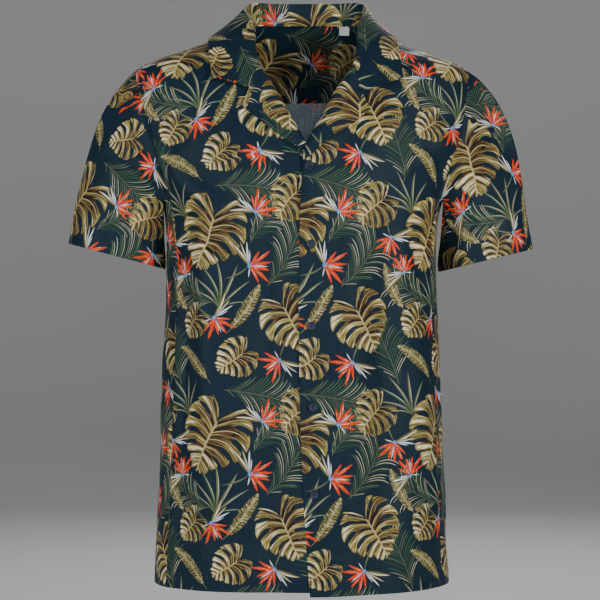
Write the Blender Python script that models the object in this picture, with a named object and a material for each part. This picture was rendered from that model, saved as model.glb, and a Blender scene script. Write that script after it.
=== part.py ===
# Short-sleeved camp-collar shirt, filled out as when it is worn, with nobody in it.
#
# The front faces -Y, the wearer's left is +X and +Z is up. The origin is the middle of the neck
# base, at the height where the shoulders meet the neck: that is where a wearer holds the shirt up.
#
# Every panel is a thin wall on one form. The form is a stack of level sections, each a squared
# ellipse. A place on it is a turn in degrees round the body (0 at the centre front, 90 at the
# wearer's left, 180 at the back) and a height. A panel is ruled between two edge lines on the form,
# and the collar and sleeves start from the panels' own edge points.

import bpy
import numpy as np

# Cloth
WALL = 0.0012           # one layer of the body cloth
COLLAR_WALL = 0.0014    # collar and reverses, two layers pressed together
GAP = 0.0003            # between pieces that are sewn or touch

# How the shirt sits on the form
NECK_X = 0.006          # the neckline's middle, towards the wearer's left
NECK_FROM, NECK_TO = -0.025, 0.012   # heights between which the form moves over to it
SET_TURN = 3.5          # degrees that the body panels sit round to the wearer's left
SET_TOP, SET_FULL = -0.046, -0.110   # heights between which that turn grows to its full size

# Hem, side seams and front edges
HEM = -0.717
LEFT_DROP = 0.005       # how much lower the left front hangs at its edge
DROP_FROM = -0.600      # height from which it does
SIDE_TURN = 65.5        # side seams, degrees from the centre front
UNDERARM_TURN, UNDERARM = 69.0, -0.222
UNDERLAP = 0.015        # how far the right front runs on under the left, past the buttons
OVERLAP_LIFT = 0.0018   # how far the left front stands out over the right one
LIFT_WIDTH = 0.030      # width over which it comes out

# Shoulder, yoke and neck
SHOULDER_TIP = -0.0475
SHOULDER_TURN = 79.0    # the yoke's front seam, just forward of the ridge
YOKE_TURN = 108.0       # where the yoke seam meets the armhole
YOKE_SEAM = -0.076      # at the centre back
YOKE_SEAM_SIDE = -0.086
NECK_BACK = 0.021

# Buttons
BUTTON_RADIUS = 0.00575
BUTTON_THICK = 0.0026
BUTTON_RIM = 0.0012     # width of the raised rim
BUTTON_DISH = 0.0006    # how far the face lies below the rim
BUTTON_SIDES = 24

# Size label
LABEL_WIDTH, LABEL_HEIGHT, LABEL_THICK = 0.013, 0.011, 0.0008
LABEL_X, LABEL_OFF = 0.0585, 0.0012   # its middle, and its distance from the yoke

# Mesh steps
FRONT_COLUMNS = 17
LOW_ROWS = 12           # from hem to underarm
HIGH_ROWS = 13          # from underarm to shoulder
BACK_COLUMNS = 30
YOKE_ROWS = 5
SLEEVE_ROWS = 13
SHOULDER_COLUMNS = 9    # of the yoke: every other column of a front meets one

# Body sections
SECTION_COLUMNS = ("height", "half_width", "front", "back", "square")
SECTIONS = (
    (-0.730, 0.1940, 0.136, 0.126, 2.50),
    (-0.697, 0.1925, 0.136, 0.126, 2.50),
    (-0.602, 0.1880, 0.135, 0.122, 2.50),
    (-0.475, 0.1835, 0.133, 0.115, 2.50),
    (-0.380, 0.1795, 0.132, 0.113, 2.50),
    (-0.317, 0.1775, 0.131, 0.117, 2.45),
    (-0.250, 0.1785, 0.129, 0.124, 2.40),
    (-0.222, 0.1840, 0.127, 0.127, 2.40),
    (-0.198, 0.1950, 0.123, 0.129, 2.35),
    (-0.170, 0.2090, 0.117, 0.130, 2.30),
    (-0.140, 0.2190, 0.109, 0.129, 2.25),
    (-0.115, 0.2240, 0.100, 0.126, 2.20),
    (-0.085, 0.2260, 0.088, 0.121, 2.20),
    (-0.060, 0.2243, 0.077, 0.114, 2.20),
    (-0.046, 0.2190, 0.069, 0.109, 2.20),
    (-0.031, 0.1900, 0.060, 0.102, 2.15),
    (-0.0206, 0.1580, 0.053, 0.096, 2.15),
    (-0.005, 0.1190, 0.042, 0.086, 2.15),
    (0.0095, 0.0850, 0.034, 0.076, 2.20),
    (0.021, 0.0740, 0.030, 0.069, 2.30),
    (0.032, 0.0640, 0.026, 0.062, 2.30),
)

# Front edge of the left front, which shows down the middle, from hem to the foot of the neckline
EDGE_COLUMNS = ("height", "x")
LEFT_EDGE = (
    (HEM - LEFT_DROP, 0.0107),
    (-0.638, 0.0044),
    (-0.575, 0.0013),
    (-0.474, -0.0020),
    (-0.285, -0.0032),
    (-0.220, -0.0010),
    (-0.158, 0.0030),
)
# Centre front, where the buttons stand
BUTTONS = (
    (-0.1790, 0.0095),
    (-0.2775, 0.0120),
    (-0.3808, 0.0127),
    (-0.4830, 0.0145),
    (-0.5928, 0.0158),
)

# Neckline of each front, from its foot up the roll line, then the collar seam to the shoulder.
# x is from the neck's middle. The right front's foot is hidden under the left front.
NECKLINE_COLUMNS = ("row", "x", "height")
NECKLINE_FOOT = 3.0         # rows above the underarm
NECKLINE = (
    (NECKLINE_FOOT, -0.0030, -0.1580),
    (5.0, 0.0160, -0.1230),
    (6.0, 0.0255, -0.1060),
    (7.0, 0.0365, -0.0840),
    (8.0, 0.0480, -0.0665),
    (9.0, 0.0605, -0.0460),
    (10.0, 0.0720, -0.0270),
    (11.0, 0.0780, -0.0130),
    (12.0, 0.0815, -0.0020),
)
COLLAR_START = 9            # the row where the roll line becomes the collar seam
NECK_POINT = 0.0835         # half the neck's width at the shoulder seam

# Armholes, half of the pair: from the foot, at the side seam, up the front and up the back
ARMHOLE_COLUMNS = ("part", "turn", "height")
ARMHOLE_FRONT = (
    (0.00, UNDERARM_TURN, UNDERARM),
    (0.05, 67.1, -0.215),
    (0.12, 65.9, -0.203),
    (0.27, 64.2, -0.174),
    (0.44, 64.2, -0.142),
    (0.59, 65.8, -0.115),
    (0.75, 69.6, -0.085),
    (0.88, 74.5, -0.062),
    (1.00, SHOULDER_TURN, SHOULDER_TIP),
)
ARMHOLE_BACK = (
    (0.00, UNDERARM_TURN, UNDERARM),
    (0.18, 81.0, -0.215),
    (0.40, 94.0, -0.197),
    (0.60, 104.0, -0.168),
    (0.80, 109.0, -0.128),
    (1.00, YOKE_TURN, YOKE_SEAM_SIDE),
)
ARMHOLE_YOKE = (
    (0.00, YOKE_TURN, YOKE_SEAM_SIDE),
    (0.35, 100.5, -0.0640),
    (0.70, 90.0, -0.0480),
    (1.00, SHOULDER_TURN, SHOULDER_TIP),
)

# Collar, half of it, from the centre back to the front end: how far its fold, the top edge, lies
# past the neck seam along the form and how far out of it, then the outer edge (its x on the
# right and on the left, from the neck's middle), and how far the fall bows out between them
COLLAR_COLUMNS = ("part", "past", "out", "right_x", "left_x", "edge_y", "edge_z", "bow")
COLLAR = (
    (0.00, 0.0269, 0.0136, 0.0000, 0.0000, 0.090, -0.006, 0.004),
    (0.20, 0.0252, 0.0168, 0.0560, 0.0550, 0.080, -0.006, 0.004),
    (0.36, 0.0225, 0.0235, 0.0950, 0.0890, 0.052, -0.006, 0.001),
    (0.50, 0.0140, 0.0165, 0.1215, 0.1070, 0.012, -0.005, 0.000),
    (0.62, 0.0158, 0.0105, 0.1260, 0.1155, -0.016, -0.011, 0.000),
    (0.78, 0.0117, 0.0070, 0.1255, 0.1215, -0.045, -0.027, 0.001),
    (0.90, 0.0050, 0.0060, 0.1235, 0.1230, -0.066, -0.046, 0.001),
    (1.00, -0.0020, 0.0055, 0.1220, 0.1245, -0.078, -0.061, 0.000),
)
STAND_STEPS = (1.0, 0.5)    # up the stand, from the seam to the fold
FALL_STEPS = (0.10, 0.28, 0.50, 0.76, 1.0)   # down the fall; the notch is at the middle one
BEND, BEND_END = (180, 135, 90, 45, 0), (180, 155, 130, 105, 80)   # round the fold, degrees
FOLD_RADIUS, FOLD_RADIUS_END = 0.0018, 0.0028
LEAF_LIFT = 0.0025          # middle of the collar's and reverses' walls above the panels
SPLIT = 0.00035             # half the space between collar and revers

# Outer edges of the reverses, from the notch, round the corner, down to the foot.
# x is from the neck's middle.
REVERS_COLUMNS = ("part", "right_x", "right_z", "left_x", "left_z")
REVERS = (
    (0.00, 0.0723, -0.0750, 0.0710, -0.0830),
    (0.24, 0.0819, -0.0990, 0.0813, -0.1030),
    (0.46, 0.0600, -0.1175, 0.0610, -0.1220),
    (0.72, 0.0330, -0.1390, 0.0340, -0.1390),
    (1.00, 0.0060, -0.1580, 0.0000, -0.1700),
)
REVERS_FOOT = {-1: 3.5, 1: 3.0}      # neckline row at which each revers's roll ends
REVERS_ROWS = {-1: 12, 1: 13}
# The wall near the roll: distance past the roll line, height above the front
ROLL_COLUMNS = ("distance", "lift")
ROLL = (
    (-0.0017, -0.0004),
    (0.0000, 0.0019),
    (0.0025, 0.0044),
    (0.0060, 0.0053),
    (0.0120, 0.0045),
    (0.0240, 0.0028),
    (0.2000, LEAF_LIFT),
)
ROLL_FULL = 0.030           # a narrower revers rolls less

# Sleeves
# Middle of each cuff, half its width, its rise outwards in degrees, and how far the sleeve keeps
# the direction it has at the shoulder, as a part of its length; side -1 right, 1 left
CUFF_COLUMNS = ("side", "x", "z", "half_width", "tilt", "head_pull")
CUFFS = (
    (-1, 0.2442, -0.2900, 0.0658, 14.8, 0.81),
    (1, 0.2435, -0.2955, 0.0624, 13.6, 1.00),
)
CUFF_HALF_DEPTH = 0.060
CUFF_LEAN = 9.0             # degrees from straight down that the sleeve has at the cuff
FOOT_PULL, CUFF_PULL = 0.34, 0.80     # the same for the underarm and the cuff
SLEEVE_CLEAR = 0.0035       # least distance kept from the body below the armhole
SOFTENING = 4               # times that each ring is evened out

# Folds: a soft trough (or ridge, where the depth is positive) along a straight line, each end a
# turn and a height on the body
FOLD_COLUMNS = ("turn_a", "height_a", "turn_b", "height_b", "depth", "width")
FOLDS_FROM, FOLDS_FULL = 0.09, 0.16     # depths below the neck between which the folds come in
BODY_FOLDS = (
    (-60.0, -0.235, -55.0, -0.400, -0.0040, 0.011),
    (-72.0, -0.300, -70.0, -0.600, -0.0035, 0.013),
    (66.0, -0.235, 60.0, -0.380, -0.0040, 0.011),
    (78.0, -0.320, 76.0, -0.620, -0.0035, 0.013),
    (62.0, -0.185, 46.0, -0.150, -0.0030, 0.012),
    (-60.0, -0.190, -44.0, -0.150, -0.0025, 0.012),
    (118.0, -0.230, 132.0, -0.420, -0.0050, 0.014),
    (242.0, -0.230, 228.0, -0.430, -0.0050, 0.014),
    (150.0, -0.330, 156.0, -0.640, 0.0035, 0.022),
    (208.0, -0.350, 203.0, -0.650, 0.0035, 0.022),
    (120.0, -0.470, 240.0, -0.455, -0.0030, 0.026),
)
# On a sleeve: each end a turn round the sleeve (0 at the top, 90 in front) and a part of its length
SLEEVE_FOLD_COLUMNS = ("turn_a", "part_a", "turn_b", "part_b", "depth", "width")
SLEEVE_FOLDS = (
    (38.0, 0.42, 128.0, 0.20, -0.0045, 0.015),
    (52.0, 0.28, 118.0, 0.10, 0.0030, 0.014),
    (322.0, 0.42, 232.0, 0.20, -0.0045, 0.015),
    (300.0, 0.30, 245.0, 0.12, 0.0030, 0.014),
    (150.0, 0.35, 140.0, 0.85, -0.0030, 0.015),
    (210.0, 0.35, 222.0, 0.80, -0.0030, 0.015),
)

# Colour and roughness
PRINTED_COTTON = ((0.012, 0.024, 0.042), 0.85)
FACING_COTTON = ((0.016, 0.030, 0.050), 0.85)
BUTTON_BLUE = ((0.045, 0.055, 0.085), 0.35)
WHITE_TAPE = ((0.80, 0.80, 0.78), 0.90)

SHARP_ANGLE = 60            # degrees between faces past which an edge is shaded sharp


# ---------------------------------------------------------------- tables and curves

def column(table, columns, name):
    return np.array([row[columns.index(name)] for row in table])


def smooth(at, places, values):
    """Cubic through the table's values, each slope the mean of its two neighbours' slopes."""
    at = np.clip(at, places[0], places[-1])
    steps = np.diff(values) / np.diff(places)
    slopes = np.concatenate([steps[:1], (steps[1:] + steps[:-1]) / 2, steps[-1:]])
    i = np.clip(np.searchsorted(places, at) - 1, 0, len(places) - 2)
    width = places[i + 1] - places[i]
    f = (at - places[i]) / width
    return (
        values[i] * (1 + 2 * f) * (1 - f) ** 2
        + slopes[i] * width * f * (1 - f) ** 2
        + values[i + 1] * f ** 2 * (3 - 2 * f)
        + slopes[i + 1] * width * f ** 2 * (f - 1)
    )


def ramp(value, start, end):
    """0 before start, 1 past end, with soft corners."""
    f = np.clip((value - start) / (end - start), 0, 1)
    return f * f * (3 - 2 * f)


def unit(vectors):
    return vectors / np.linalg.norm(vectors, axis=-1, keepdims=True)


def line(table, columns, at, names):
    """Reads named columns of a table at the parts `at` of its first column, with straight runs."""
    first = column(table, columns, columns[0])
    return [np.interp(at, first, column(table, columns, name)) for name in names]


def curve(table, columns, at, names):
    """The same, with smooth runs."""
    first = column(table, columns, columns[0])
    return [smooth(at, first, column(table, columns, name)) for name in names]


# ---------------------------------------------------------------- the form

def section(height):
    return curve(SECTIONS, SECTION_COLUMNS, height, SECTION_COLUMNS[1:])


def middle(height):
    return NECK_X * ramp(height, NECK_FROM, NECK_TO)


def form(turn, height):
    """Point of the form: the squared ellipse of that height, at that turn."""
    half_width, front, back, square = section(height)
    angle = np.radians(turn)
    sine, cosine = np.sin(angle), np.cos(angle)
    x = middle(height) + half_width * np.sign(sine) * np.abs(sine) ** (2 / square)
    y = np.where(cosine > 0, -front, back) * np.abs(cosine) ** (2 / square)
    return np.stack([x, y, height + 0 * x], axis=-1)


def form_normal(turn, height):
    """Outward normal, from small steps round and up the form."""
    step_turn, step_up = 0.05, 0.0005
    height = np.clip(height, SECTIONS[0][0] + step_up, SECTIONS[-1][0] - step_up)
    across = form(turn + step_turn, height) - form(turn - step_turn, height)
    up = form(turn, height + step_up) - form(turn, height - step_up)
    return unit(np.cross(across, up))


def front_turn(x, height):
    """The turn of the front point that has this x at this height."""
    half_width, _, _, square = section(height)
    x = x - middle(height)
    part = np.clip(np.abs(x) / half_width, 0, 1)
    return np.sign(x) * np.degrees(np.arcsin(part ** (square / 2)))


def set_turn(side, turn, height):
    """Turns a half-pattern's place into its place on the form, for side -1 (right) or 1 (left)."""
    return side * turn + SET_TURN * ramp(height, SET_TOP, SET_FULL)


def fold_relief(points, folds):
    """How far folds move the points out: each fold is a rounded bar between its two ends."""
    total = np.zeros(points.shape[:-1])
    for a, b, depth, width in folds:
        run = b - a
        along = np.clip((points - a) @ run / (run @ run), 0, 1)
        away = np.linalg.norm(points - a - along[..., None] * run, axis=-1)
        ends = np.sin(np.pi * np.clip(along, 0.04, 0.96)) ** 0.7
        total += depth * ends * np.exp(-(away / width) ** 2)
    return total


def body_folds():
    return [
        (form(turn_a, height_a), form(turn_b, height_b), depth, width)
        for turn_a, height_a, turn_b, height_b, depth, width in BODY_FOLDS
    ]


def cloth(turn, height, lift=0.0):
    """Outer face of the body cloth, folds included, and its normals."""
    points, normals = form(turn, height), form_normal(turn, height)
    below = ramp(-height, FOLDS_FROM, FOLDS_FULL)
    relief = fold_relief(points, body_folds()) * below
    return points + normals * (relief + lift)[..., None], normals


def level(points):
    """Above 0 outside the form, below 0 inside it."""
    half_width, front, back, square = section(points[..., 2])
    depth = np.where(points[..., 1] < 0, front, back)
    x = np.abs(points[..., 0] - middle(points[..., 2])) / half_width
    y = np.abs(points[..., 1]) / depth
    return (x ** square + y ** square) ** (1 / square) - 1


def level_slope(points):
    step = 0.0004
    sides = [level(points + step * axis) - level(points - step * axis) for axis in np.eye(3)]
    return np.stack(sides, axis=-1) / (2 * step)


def stand_off(points, least):
    """Pushes points out until they are at least this far from the form."""
    for _ in range(6):
        slope = level_slope(points)
        size = np.linalg.norm(slope, axis=-1)
        short = np.clip(least - level(points) / size, 0, 0.01)
        points = points + slope * (short / size)[..., None]
    return points


# ---------------------------------------------------------------- walls

def draw_in(points, edges):
    """Moves the named borders of a grid half a gap towards the rows next to them."""
    points = points.copy()
    borders = {
        "start": (points[0], points[1]),
        "end": (points[-1], points[-2]),
        "left": (points[:, 0], points[:, 1]),
        "right": (points[:, -1], points[:, -2]),
    }
    for name in edges:
        border, inner = borders[name]
        border += unit(inner - border) * GAP / 2
    return points


def split_quads(points, quads):
    """Two triangles for each quad, on its shorter diagonal."""
    a, b, c, d = quads.T
    first = np.linalg.norm(points[a] - points[c], axis=1)
    second = np.linalg.norm(points[b] - points[d], axis=1)
    keep = (first <= second)[:, None]
    one = np.where(keep, np.stack([a, b, c], 1), np.stack([a, b, d], 1))
    two = np.where(keep, np.stack([a, c, d], 1), np.stack([b, c, d], 1))
    return np.concatenate([one, two])


def add_wall(name, outer, inner, finish, closed=False):
    """One closed body between two grids of points. A closed grid's columns run all the way round.

    Both faces are split on the same diagonals, so that the wall keeps its thickness.
    """
    rows, columns = outer.shape[:2]
    index = np.arange(rows * columns).reshape(rows, columns)
    if closed:
        index = np.concatenate([index, index[:, :1]], axis=1)
    a, b, c, d = index[:-1, :-1], index[:-1, 1:], index[1:, 1:], index[1:, :-1]
    quads = np.stack([a, b, c, d], axis=-1).reshape(-1, 4)
    face = split_quads(outer.reshape(-1, 3), quads)
    shift = rows * columns
    faces = [face, face[:, ::-1] + shift]
    rims = [index[0, ::-1], index[-1]]
    if not closed:
        rims += [index[:, 0], index[::-1, -1]]
    for rim in rims:
        p, q = rim[:-1], rim[1:]
        faces += [np.stack([q + shift, p, q], axis=-1), np.stack([q + shift, p + shift, p], axis=-1)]
    faces = np.concatenate(faces)
    points = np.concatenate([outer.reshape(-1, 3), inner.reshape(-1, 3)])
    first, second, third = (points[faces[:, i]] for i in range(3))
    if np.einsum("ij,ij->i", first, np.cross(second, third)).sum() < 0:
        faces = faces[:, ::-1]
    return add_mesh(name, points, faces, finish)


def add_mesh(name, points, faces, finish):
    mesh = bpy.data.meshes.new(name)
    mesh.from_pydata(np.asarray(points).tolist(), [], [list(map(int, face)) for face in faces])
    mesh.validate()
    mesh.shade_smooth()
    mesh.set_sharp_from_angle(angle=np.radians(SHARP_ANGLE))
    mesh.materials.append(make_material(name, *finish))
    piece = bpy.data.objects.new(name, mesh)
    bpy.context.scene.collection.objects.link(piece)
    return piece


def make_material(name, colour, roughness):
    material = bpy.data.materials.new(name)
    material.use_nodes = True
    shader = material.node_tree.nodes["Principled BSDF"]
    shader.inputs["Base Color"].default_value = (*colour, 1.0)
    shader.inputs["Roughness"].default_value = roughness
    shader.inputs["Metallic"].default_value = 0.0
    material.diffuse_color = (*colour, 1.0)
    return material


def grid_normals(points, closed=False):
    """Normals of a grid from its own rows and columns."""
    across = np.gradient(points, axis=1)
    if closed:
        across = np.roll(points, -1, axis=1) - np.roll(points, 1, axis=1)
    along = np.gradient(points, axis=0)
    return unit(np.cross(across, along))


# ---------------------------------------------------------------- fronts, back and yoke

def ruled(start, end, columns):
    """Grid between two edge lines, given as (turns, heights), straight in turn and height."""
    f = np.linspace(0, 1, columns)[None, :]
    turn = start[0][:, None] * (1 - f) + end[0][:, None] * f
    height = start[1][:, None] * (1 - f) + end[1][:, None] * f
    return turn, height


def front_edge_x(side, height):
    """The fronts' own edges below the neckline."""
    if side > 0:
        return smooth(height, *(column(LEFT_EDGE, EDGE_COLUMNS, n) for n in EDGE_COLUMNS))
    heights, places = (column(BUTTONS, EDGE_COLUMNS, n)[::-1] for n in EDGE_COLUMNS)
    return np.interp(height, heights, places) + UNDERLAP


def side_seam(side):
    """Turns and heights of the side seam, from hem to the foot of the armhole."""
    f = np.linspace(0, 1, LOW_ROWS + 1)
    heights = HEM + (UNDERARM - HEM) * f
    turns = SIDE_TURN + (UNDERARM_TURN - SIDE_TURN) * ramp(f, 0.75, 1.0)
    return set_turn(side, turns, heights), heights


def seam_height(side):
    """Height at which the shoulder seam meets the neck."""
    heights = np.linspace(-0.02, 0.03, 101)
    widths = np.abs(form(side * SHOULDER_TURN + 0 * heights, heights)[:, 0] - NECK_X)
    return np.interp(-NECK_POINT, -widths, heights)


def front_edges(side):
    """The inner edge (front edge and neckline) and the outer edge (side seam and armhole)."""
    seam_turn, seam_height_ = side_seam(side)
    arm = np.linspace(0, 1, HIGH_ROWS + 1)[1:]
    arm_turn, arm_height = curve(ARMHOLE_FRONT, ARMHOLE_COLUMNS, arm, ("turn", "height"))
    outer = (
        np.concatenate([seam_turn, set_turn(side, arm_turn, arm_height)]),
        np.concatenate([seam_height_, arm_height]),
    )
    drop = LEFT_DROP * (side > 0)
    low = seam_height_ - drop * ramp(-seam_height_, -DROP_FROM, -HEM)
    rows = np.arange(1, HIGH_ROWS + 1)
    neck_x, neck_height = line(NECKLINE, NECKLINE_COLUMNS, rows, ("x", "height"))
    plain = rows < NECKLINE_FOOT
    rise = np.interp(NECKLINE_FOOT, rows, neck_height) - low[-1]
    neck_height[plain] = low[-1] + rise * rows[plain] / NECKLINE_FOOT
    heights = np.concatenate([low, neck_height])
    x = NECK_X + side * np.concatenate([0 * low, neck_x])
    plain = np.concatenate([low < 1, plain])
    x[plain] = front_edge_x(side, heights)[plain]
    turns = front_turn(x, heights)
    turns[-1], heights[-1] = side * SHOULDER_TURN, seam_height(side)
    return (turns, heights), outer


def front_lift(side, turn, height):
    """The left front stands out a little over the right one, next to its own edge."""
    if side < 0:
        return 0 * turn
    from_edge = form(turn, height)[..., 0] - front_edge_x(1, height)
    run = UNDERLAP + 0.012
    over = 1 - ramp(from_edge, run, run + LIFT_WIDTH)
    return OVERLAP_LIFT * over * ramp(-height, 0.10, 0.15)


def build_front(name, side):
    inner_edge, outer_edge = front_edges(side)
    turn, height = ruled(inner_edge, outer_edge, FRONT_COLUMNS)
    points, normals = cloth(turn, height, front_lift(side, turn, height))
    points[-1, 1::2] = (points[-1, :-1:2] + points[-1, 2::2]) / 2
    drawn = draw_in(points, ("left", "right", "end"))
    add_wall(name, drawn, drawn - normals * WALL, PRINTED_COTTON)
    return points


def build_back(name):
    """From the left side seam round the back to the right one, up to the yoke seam."""
    edges = []
    for side in (1, -1):
        seam_turn, seam_height_ = side_seam(side)
        arm = np.linspace(0, 1, HIGH_ROWS - 1)[1:]
        arm_turn, arm_height = curve(ARMHOLE_BACK, ARMHOLE_COLUMNS, arm, ("turn", "height"))
        turns = np.concatenate([seam_turn, set_turn(side, arm_turn, arm_height)])
        edges.append((turns + 360 * (side < 0), np.concatenate([seam_height_, arm_height])))
    turn, height = ruled(*edges, BACK_COLUMNS)
    f = np.linspace(0, 1, BACK_COLUMNS)[None, :]
    rise = ramp(height, UNDERARM, YOKE_SEAM_SIDE)
    height = height + (YOKE_SEAM - YOKE_SEAM_SIDE) * rise * np.sin(np.pi * f) ** 0.8
    points, normals = cloth(turn, height)
    drawn = draw_in(points, ("left", "right", "end"))
    add_wall(name, drawn, drawn - normals * WALL, PRINTED_COTTON)
    return points, turn[-1], height[-1]


def yoke_top():
    """Turns and heights of the yoke's upper edge: shoulder seam, back neck, shoulder seam."""
    f = np.linspace(0, 1, SHOULDER_COLUMNS)
    left = SHOULDER_TIP + (seam_height(1) - SHOULDER_TIP) * f
    right = SHOULDER_TIP + (seam_height(-1) - SHOULDER_TIP) * f[::-1]
    g = np.linspace(0, 1, BACK_COLUMNS - 2 * SHOULDER_COLUMNS + 2)[1:-1]
    sides = left[-1] * (1 - g) + right[0] * g
    neck = sides + (NECK_BACK - sides) * np.sin(np.pi * g) ** 0.75
    turn = np.concatenate([
        np.full(SHOULDER_COLUMNS, SHOULDER_TURN),
        SHOULDER_TURN + (360 - 2 * SHOULDER_TURN) * g,
        np.full(SHOULDER_COLUMNS, 360 - SHOULDER_TURN),
    ])
    return turn, np.concatenate([left, neck, right])


def yoke_grid(back_turn, back_height):
    """Turns and heights of the whole yoke, from the yoke seam up over the shoulders."""
    top_turn, top_height = yoke_top()
    f = np.linspace(0, 1, YOKE_ROWS + 1)
    turn, height = ruled((back_turn, back_height), (top_turn, top_height), YOKE_ROWS + 1)
    turn, height = turn.T, height.T
    side_turn, side_height = curve(ARMHOLE_YOKE, ARMHOLE_COLUMNS, f, ("turn", "height"))
    columns = np.arange(BACK_COLUMNS)
    near = 1 - ramp(columns, 0, SHOULDER_COLUMNS - 1)
    for side, weight in ((1, near), (-1, near[::-1])):
        place = set_turn(side, side_turn, side_height) + 360 * (side < 0)
        edge = 0 if side > 0 else -1
        turn = turn + (place - turn[:, edge])[:, None] * weight
        height = height + (side_height - height[:, edge])[:, None] * weight
    return turn, height


def build_yoke(name, inner_name, back_turn, back_height):
    turn, height = yoke_grid(back_turn, back_height)
    points, normals = cloth(turn, height)
    drawn = draw_in(points, ("left", "right", "start", "end"))
    add_wall(name, drawn, drawn - normals * WALL, PRINTED_COTTON)
    inside = drawn - normals * (WALL + GAP)
    inside[0] += unit(inside[0] - inside[1]) * 0.002
    inside = draw_in(inside, ("left", "right", "end"))
    add_wall(inner_name, inside, inside - normals * WALL, FACING_COTTON)
    return points, inside - normals * WALL


# ---------------------------------------------------------------- sleeves

def armhole(side, front, back, yoke):
    """The armhole as a loop of panel points: from the foot up the front, over the yoke, down the back."""
    edge = 0 if side > 0 else -1
    up = front[LOW_ROWS:, -1]
    over = yoke[::-1, edge][1:]
    down = back[LOW_ROWS:, edge][::-1][1:-1]
    return np.concatenate([up, over, down])


def sleeve_turns(loop):
    """Degrees round the sleeve for each loop point: 180 at the foot, 0 at the top, 270 behind."""
    ring = np.concatenate([loop, loop[:1]])
    run = np.concatenate([[0], np.cumsum(np.linalg.norm(np.diff(ring, axis=0), axis=1))])
    top = np.argmax(loop[:, 2])
    turns = np.interp(run[:-1], [0, run[top], run[-1]], [180, 0, -180])
    return turns % 360


def build_sleeve(name, side, front, back, yoke):
    loop = armhole(side, front, back, yoke)
    turns = sleeve_turns(loop)
    angle = np.radians(turns)
    x, z, half_width, tilt, head = line(CUFFS, CUFF_COLUMNS, side, CUFF_COLUMNS[1:])
    tilt, lean = np.radians(tilt), np.radians(CUFF_LEAN)
    out = np.array([side * np.cos(tilt), 0, np.sin(tilt)])
    cuff = np.array([side * x, 0, z]) + half_width * np.cos(angle)[:, None] * out
    cuff[:, 1] -= CUFF_HALF_DEPTH * np.sin(angle)
    top = ((1 + np.cos(angle)) / 2)[:, None]
    tangent = unit(np.roll(loop, -1, axis=0) - np.roll(loop, 1, axis=0))
    normal = unit((loop - [side * 0.10, 0, 0]) * [1, 1, 0] + top ** 2 * [0, 0, 0.13] + [0, 0, 0.06])
    ahead = unit(np.cross(tangent, normal))
    ahead *= np.sign(ahead @ [side, 0, 0])[:, None]
    hang = np.stack([side * (0.75 - 0.2 * top[:, 0]), -0.25 * np.sin(angle), 0 * angle - 0.7], 1)
    length = np.linalg.norm(cuff - loop, axis=1, keepdims=True)
    pull = FOOT_PULL + (head - FOOT_PULL) * top
    head_pull = pull * length * unit(ahead * top ** 2 + unit(hang) * (1 - top ** 2))
    cuff_pull = CUFF_PULL * length * np.array([side * np.sin(lean), 0, -np.cos(lean)])
    f = (np.linspace(0, 1, SLEEVE_ROWS + 1) ** 1.15)[:, None, None]
    points = (
        loop * (1 + 2 * f) * (1 - f) ** 2
        + head_pull * f * (1 - f) ** 2
        + cuff * f ** 2 * (3 - 2 * f)
        + cuff_pull * f ** 2 * (f - 1)
    )
    soft = ramp(f, 0.0, 0.10) * (1 - ramp(f, 0.6, 0.95)) / 2
    for _ in range(SOFTENING):
        beside = (np.roll(points, 1, axis=1) + np.roll(points, -1, axis=1)) / 2
        softer = points + (beside - points) * soft
        widen = np.sqrt(ring_length(points) / ring_length(softer)) - 1
        points = softer + (softer - softer.mean(axis=1, keepdims=True)) * widen * top
    below = ramp(-points[..., 2], 0.10, 0.2) * ramp(f[..., 0], 0.0, 0.12)
    clear = stand_off(points, SLEEVE_CLEAR)
    points = points + (clear - points) * below[..., None]
    points = draw_in(points, ("start",))
    points, normals = add_sleeve_folds(points, turns, f[:, 0, 0])
    at_seam = ramp(top, 0.2, 0.7)
    normals[0] = unit(normals[0] * (1 - at_seam) + unit(level_slope(loop)) * at_seam)
    add_wall(name, points, points - normals * WALL, PRINTED_COTTON, closed=True)


def ring_length(points):
    """Length round each ring of a closed grid."""
    steps = np.linalg.norm(np.roll(points, -1, axis=1) - points, axis=2)
    return steps.sum(axis=1)[:, None, None]


def sleeve_normals(points):
    normals = grid_normals(points, closed=True)
    normals = unit(normals + (np.roll(normals, 1, axis=1) + np.roll(normals, -1, axis=1)) / 2)
    out = points - points.mean(axis=1, keepdims=True)
    return normals * np.sign((normals * out).sum())


def add_sleeve_folds(points, turns, parts):
    def place(turn, part):
        column_ = np.argmin(np.abs((turns - turn + 180) % 360 - 180))
        return points[np.argmin(np.abs(parts - part)), column_]

    folds = [
        (place(turn_a, part_a), place(turn_b, part_b), depth, width)
        for turn_a, part_a, turn_b, part_b, depth, width in SLEEVE_FOLDS
    ]
    relief = fold_relief(points, folds) * ramp(parts, 0.0, 0.12)[:, None]
    points = points + sleeve_normals(points) * relief[..., None]
    return points, sleeve_normals(points)


# ---------------------------------------------------------------- collar and reverses

def neck_edge(fronts, yoke):
    """The neck seam from the right front's collar start round the back to the left one's."""
    first = LOW_ROWS + COLLAR_START
    right, left = fronts[-1][first:, 0], fronts[1][first:, 0]
    around = yoke[-1, SHOULDER_COLUMNS - 1:BACK_COLUMNS - SHOULDER_COLUMNS + 1][::-1]
    points = np.concatenate([right[:-1], around, left[::-1][1:]])
    middles = (points[1:] + points[:-1]) / 2
    doubled = np.empty((len(points) + len(middles), 3))
    doubled[::2], doubled[1::2] = points, middles
    return doubled


def front_place(x, height, lift):
    points, normals = cloth(front_turn(x, height), height)
    return points + normals * np.reshape(lift, np.shape(x) + (1,))


def even_out(points):
    """Evens out a line of points, without moving its ends."""
    beside = (points[:-2] + points[2:]) / 2
    return np.concatenate([points[:1], (points[1:-1] + beside) / 2, points[-1:]])


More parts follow.
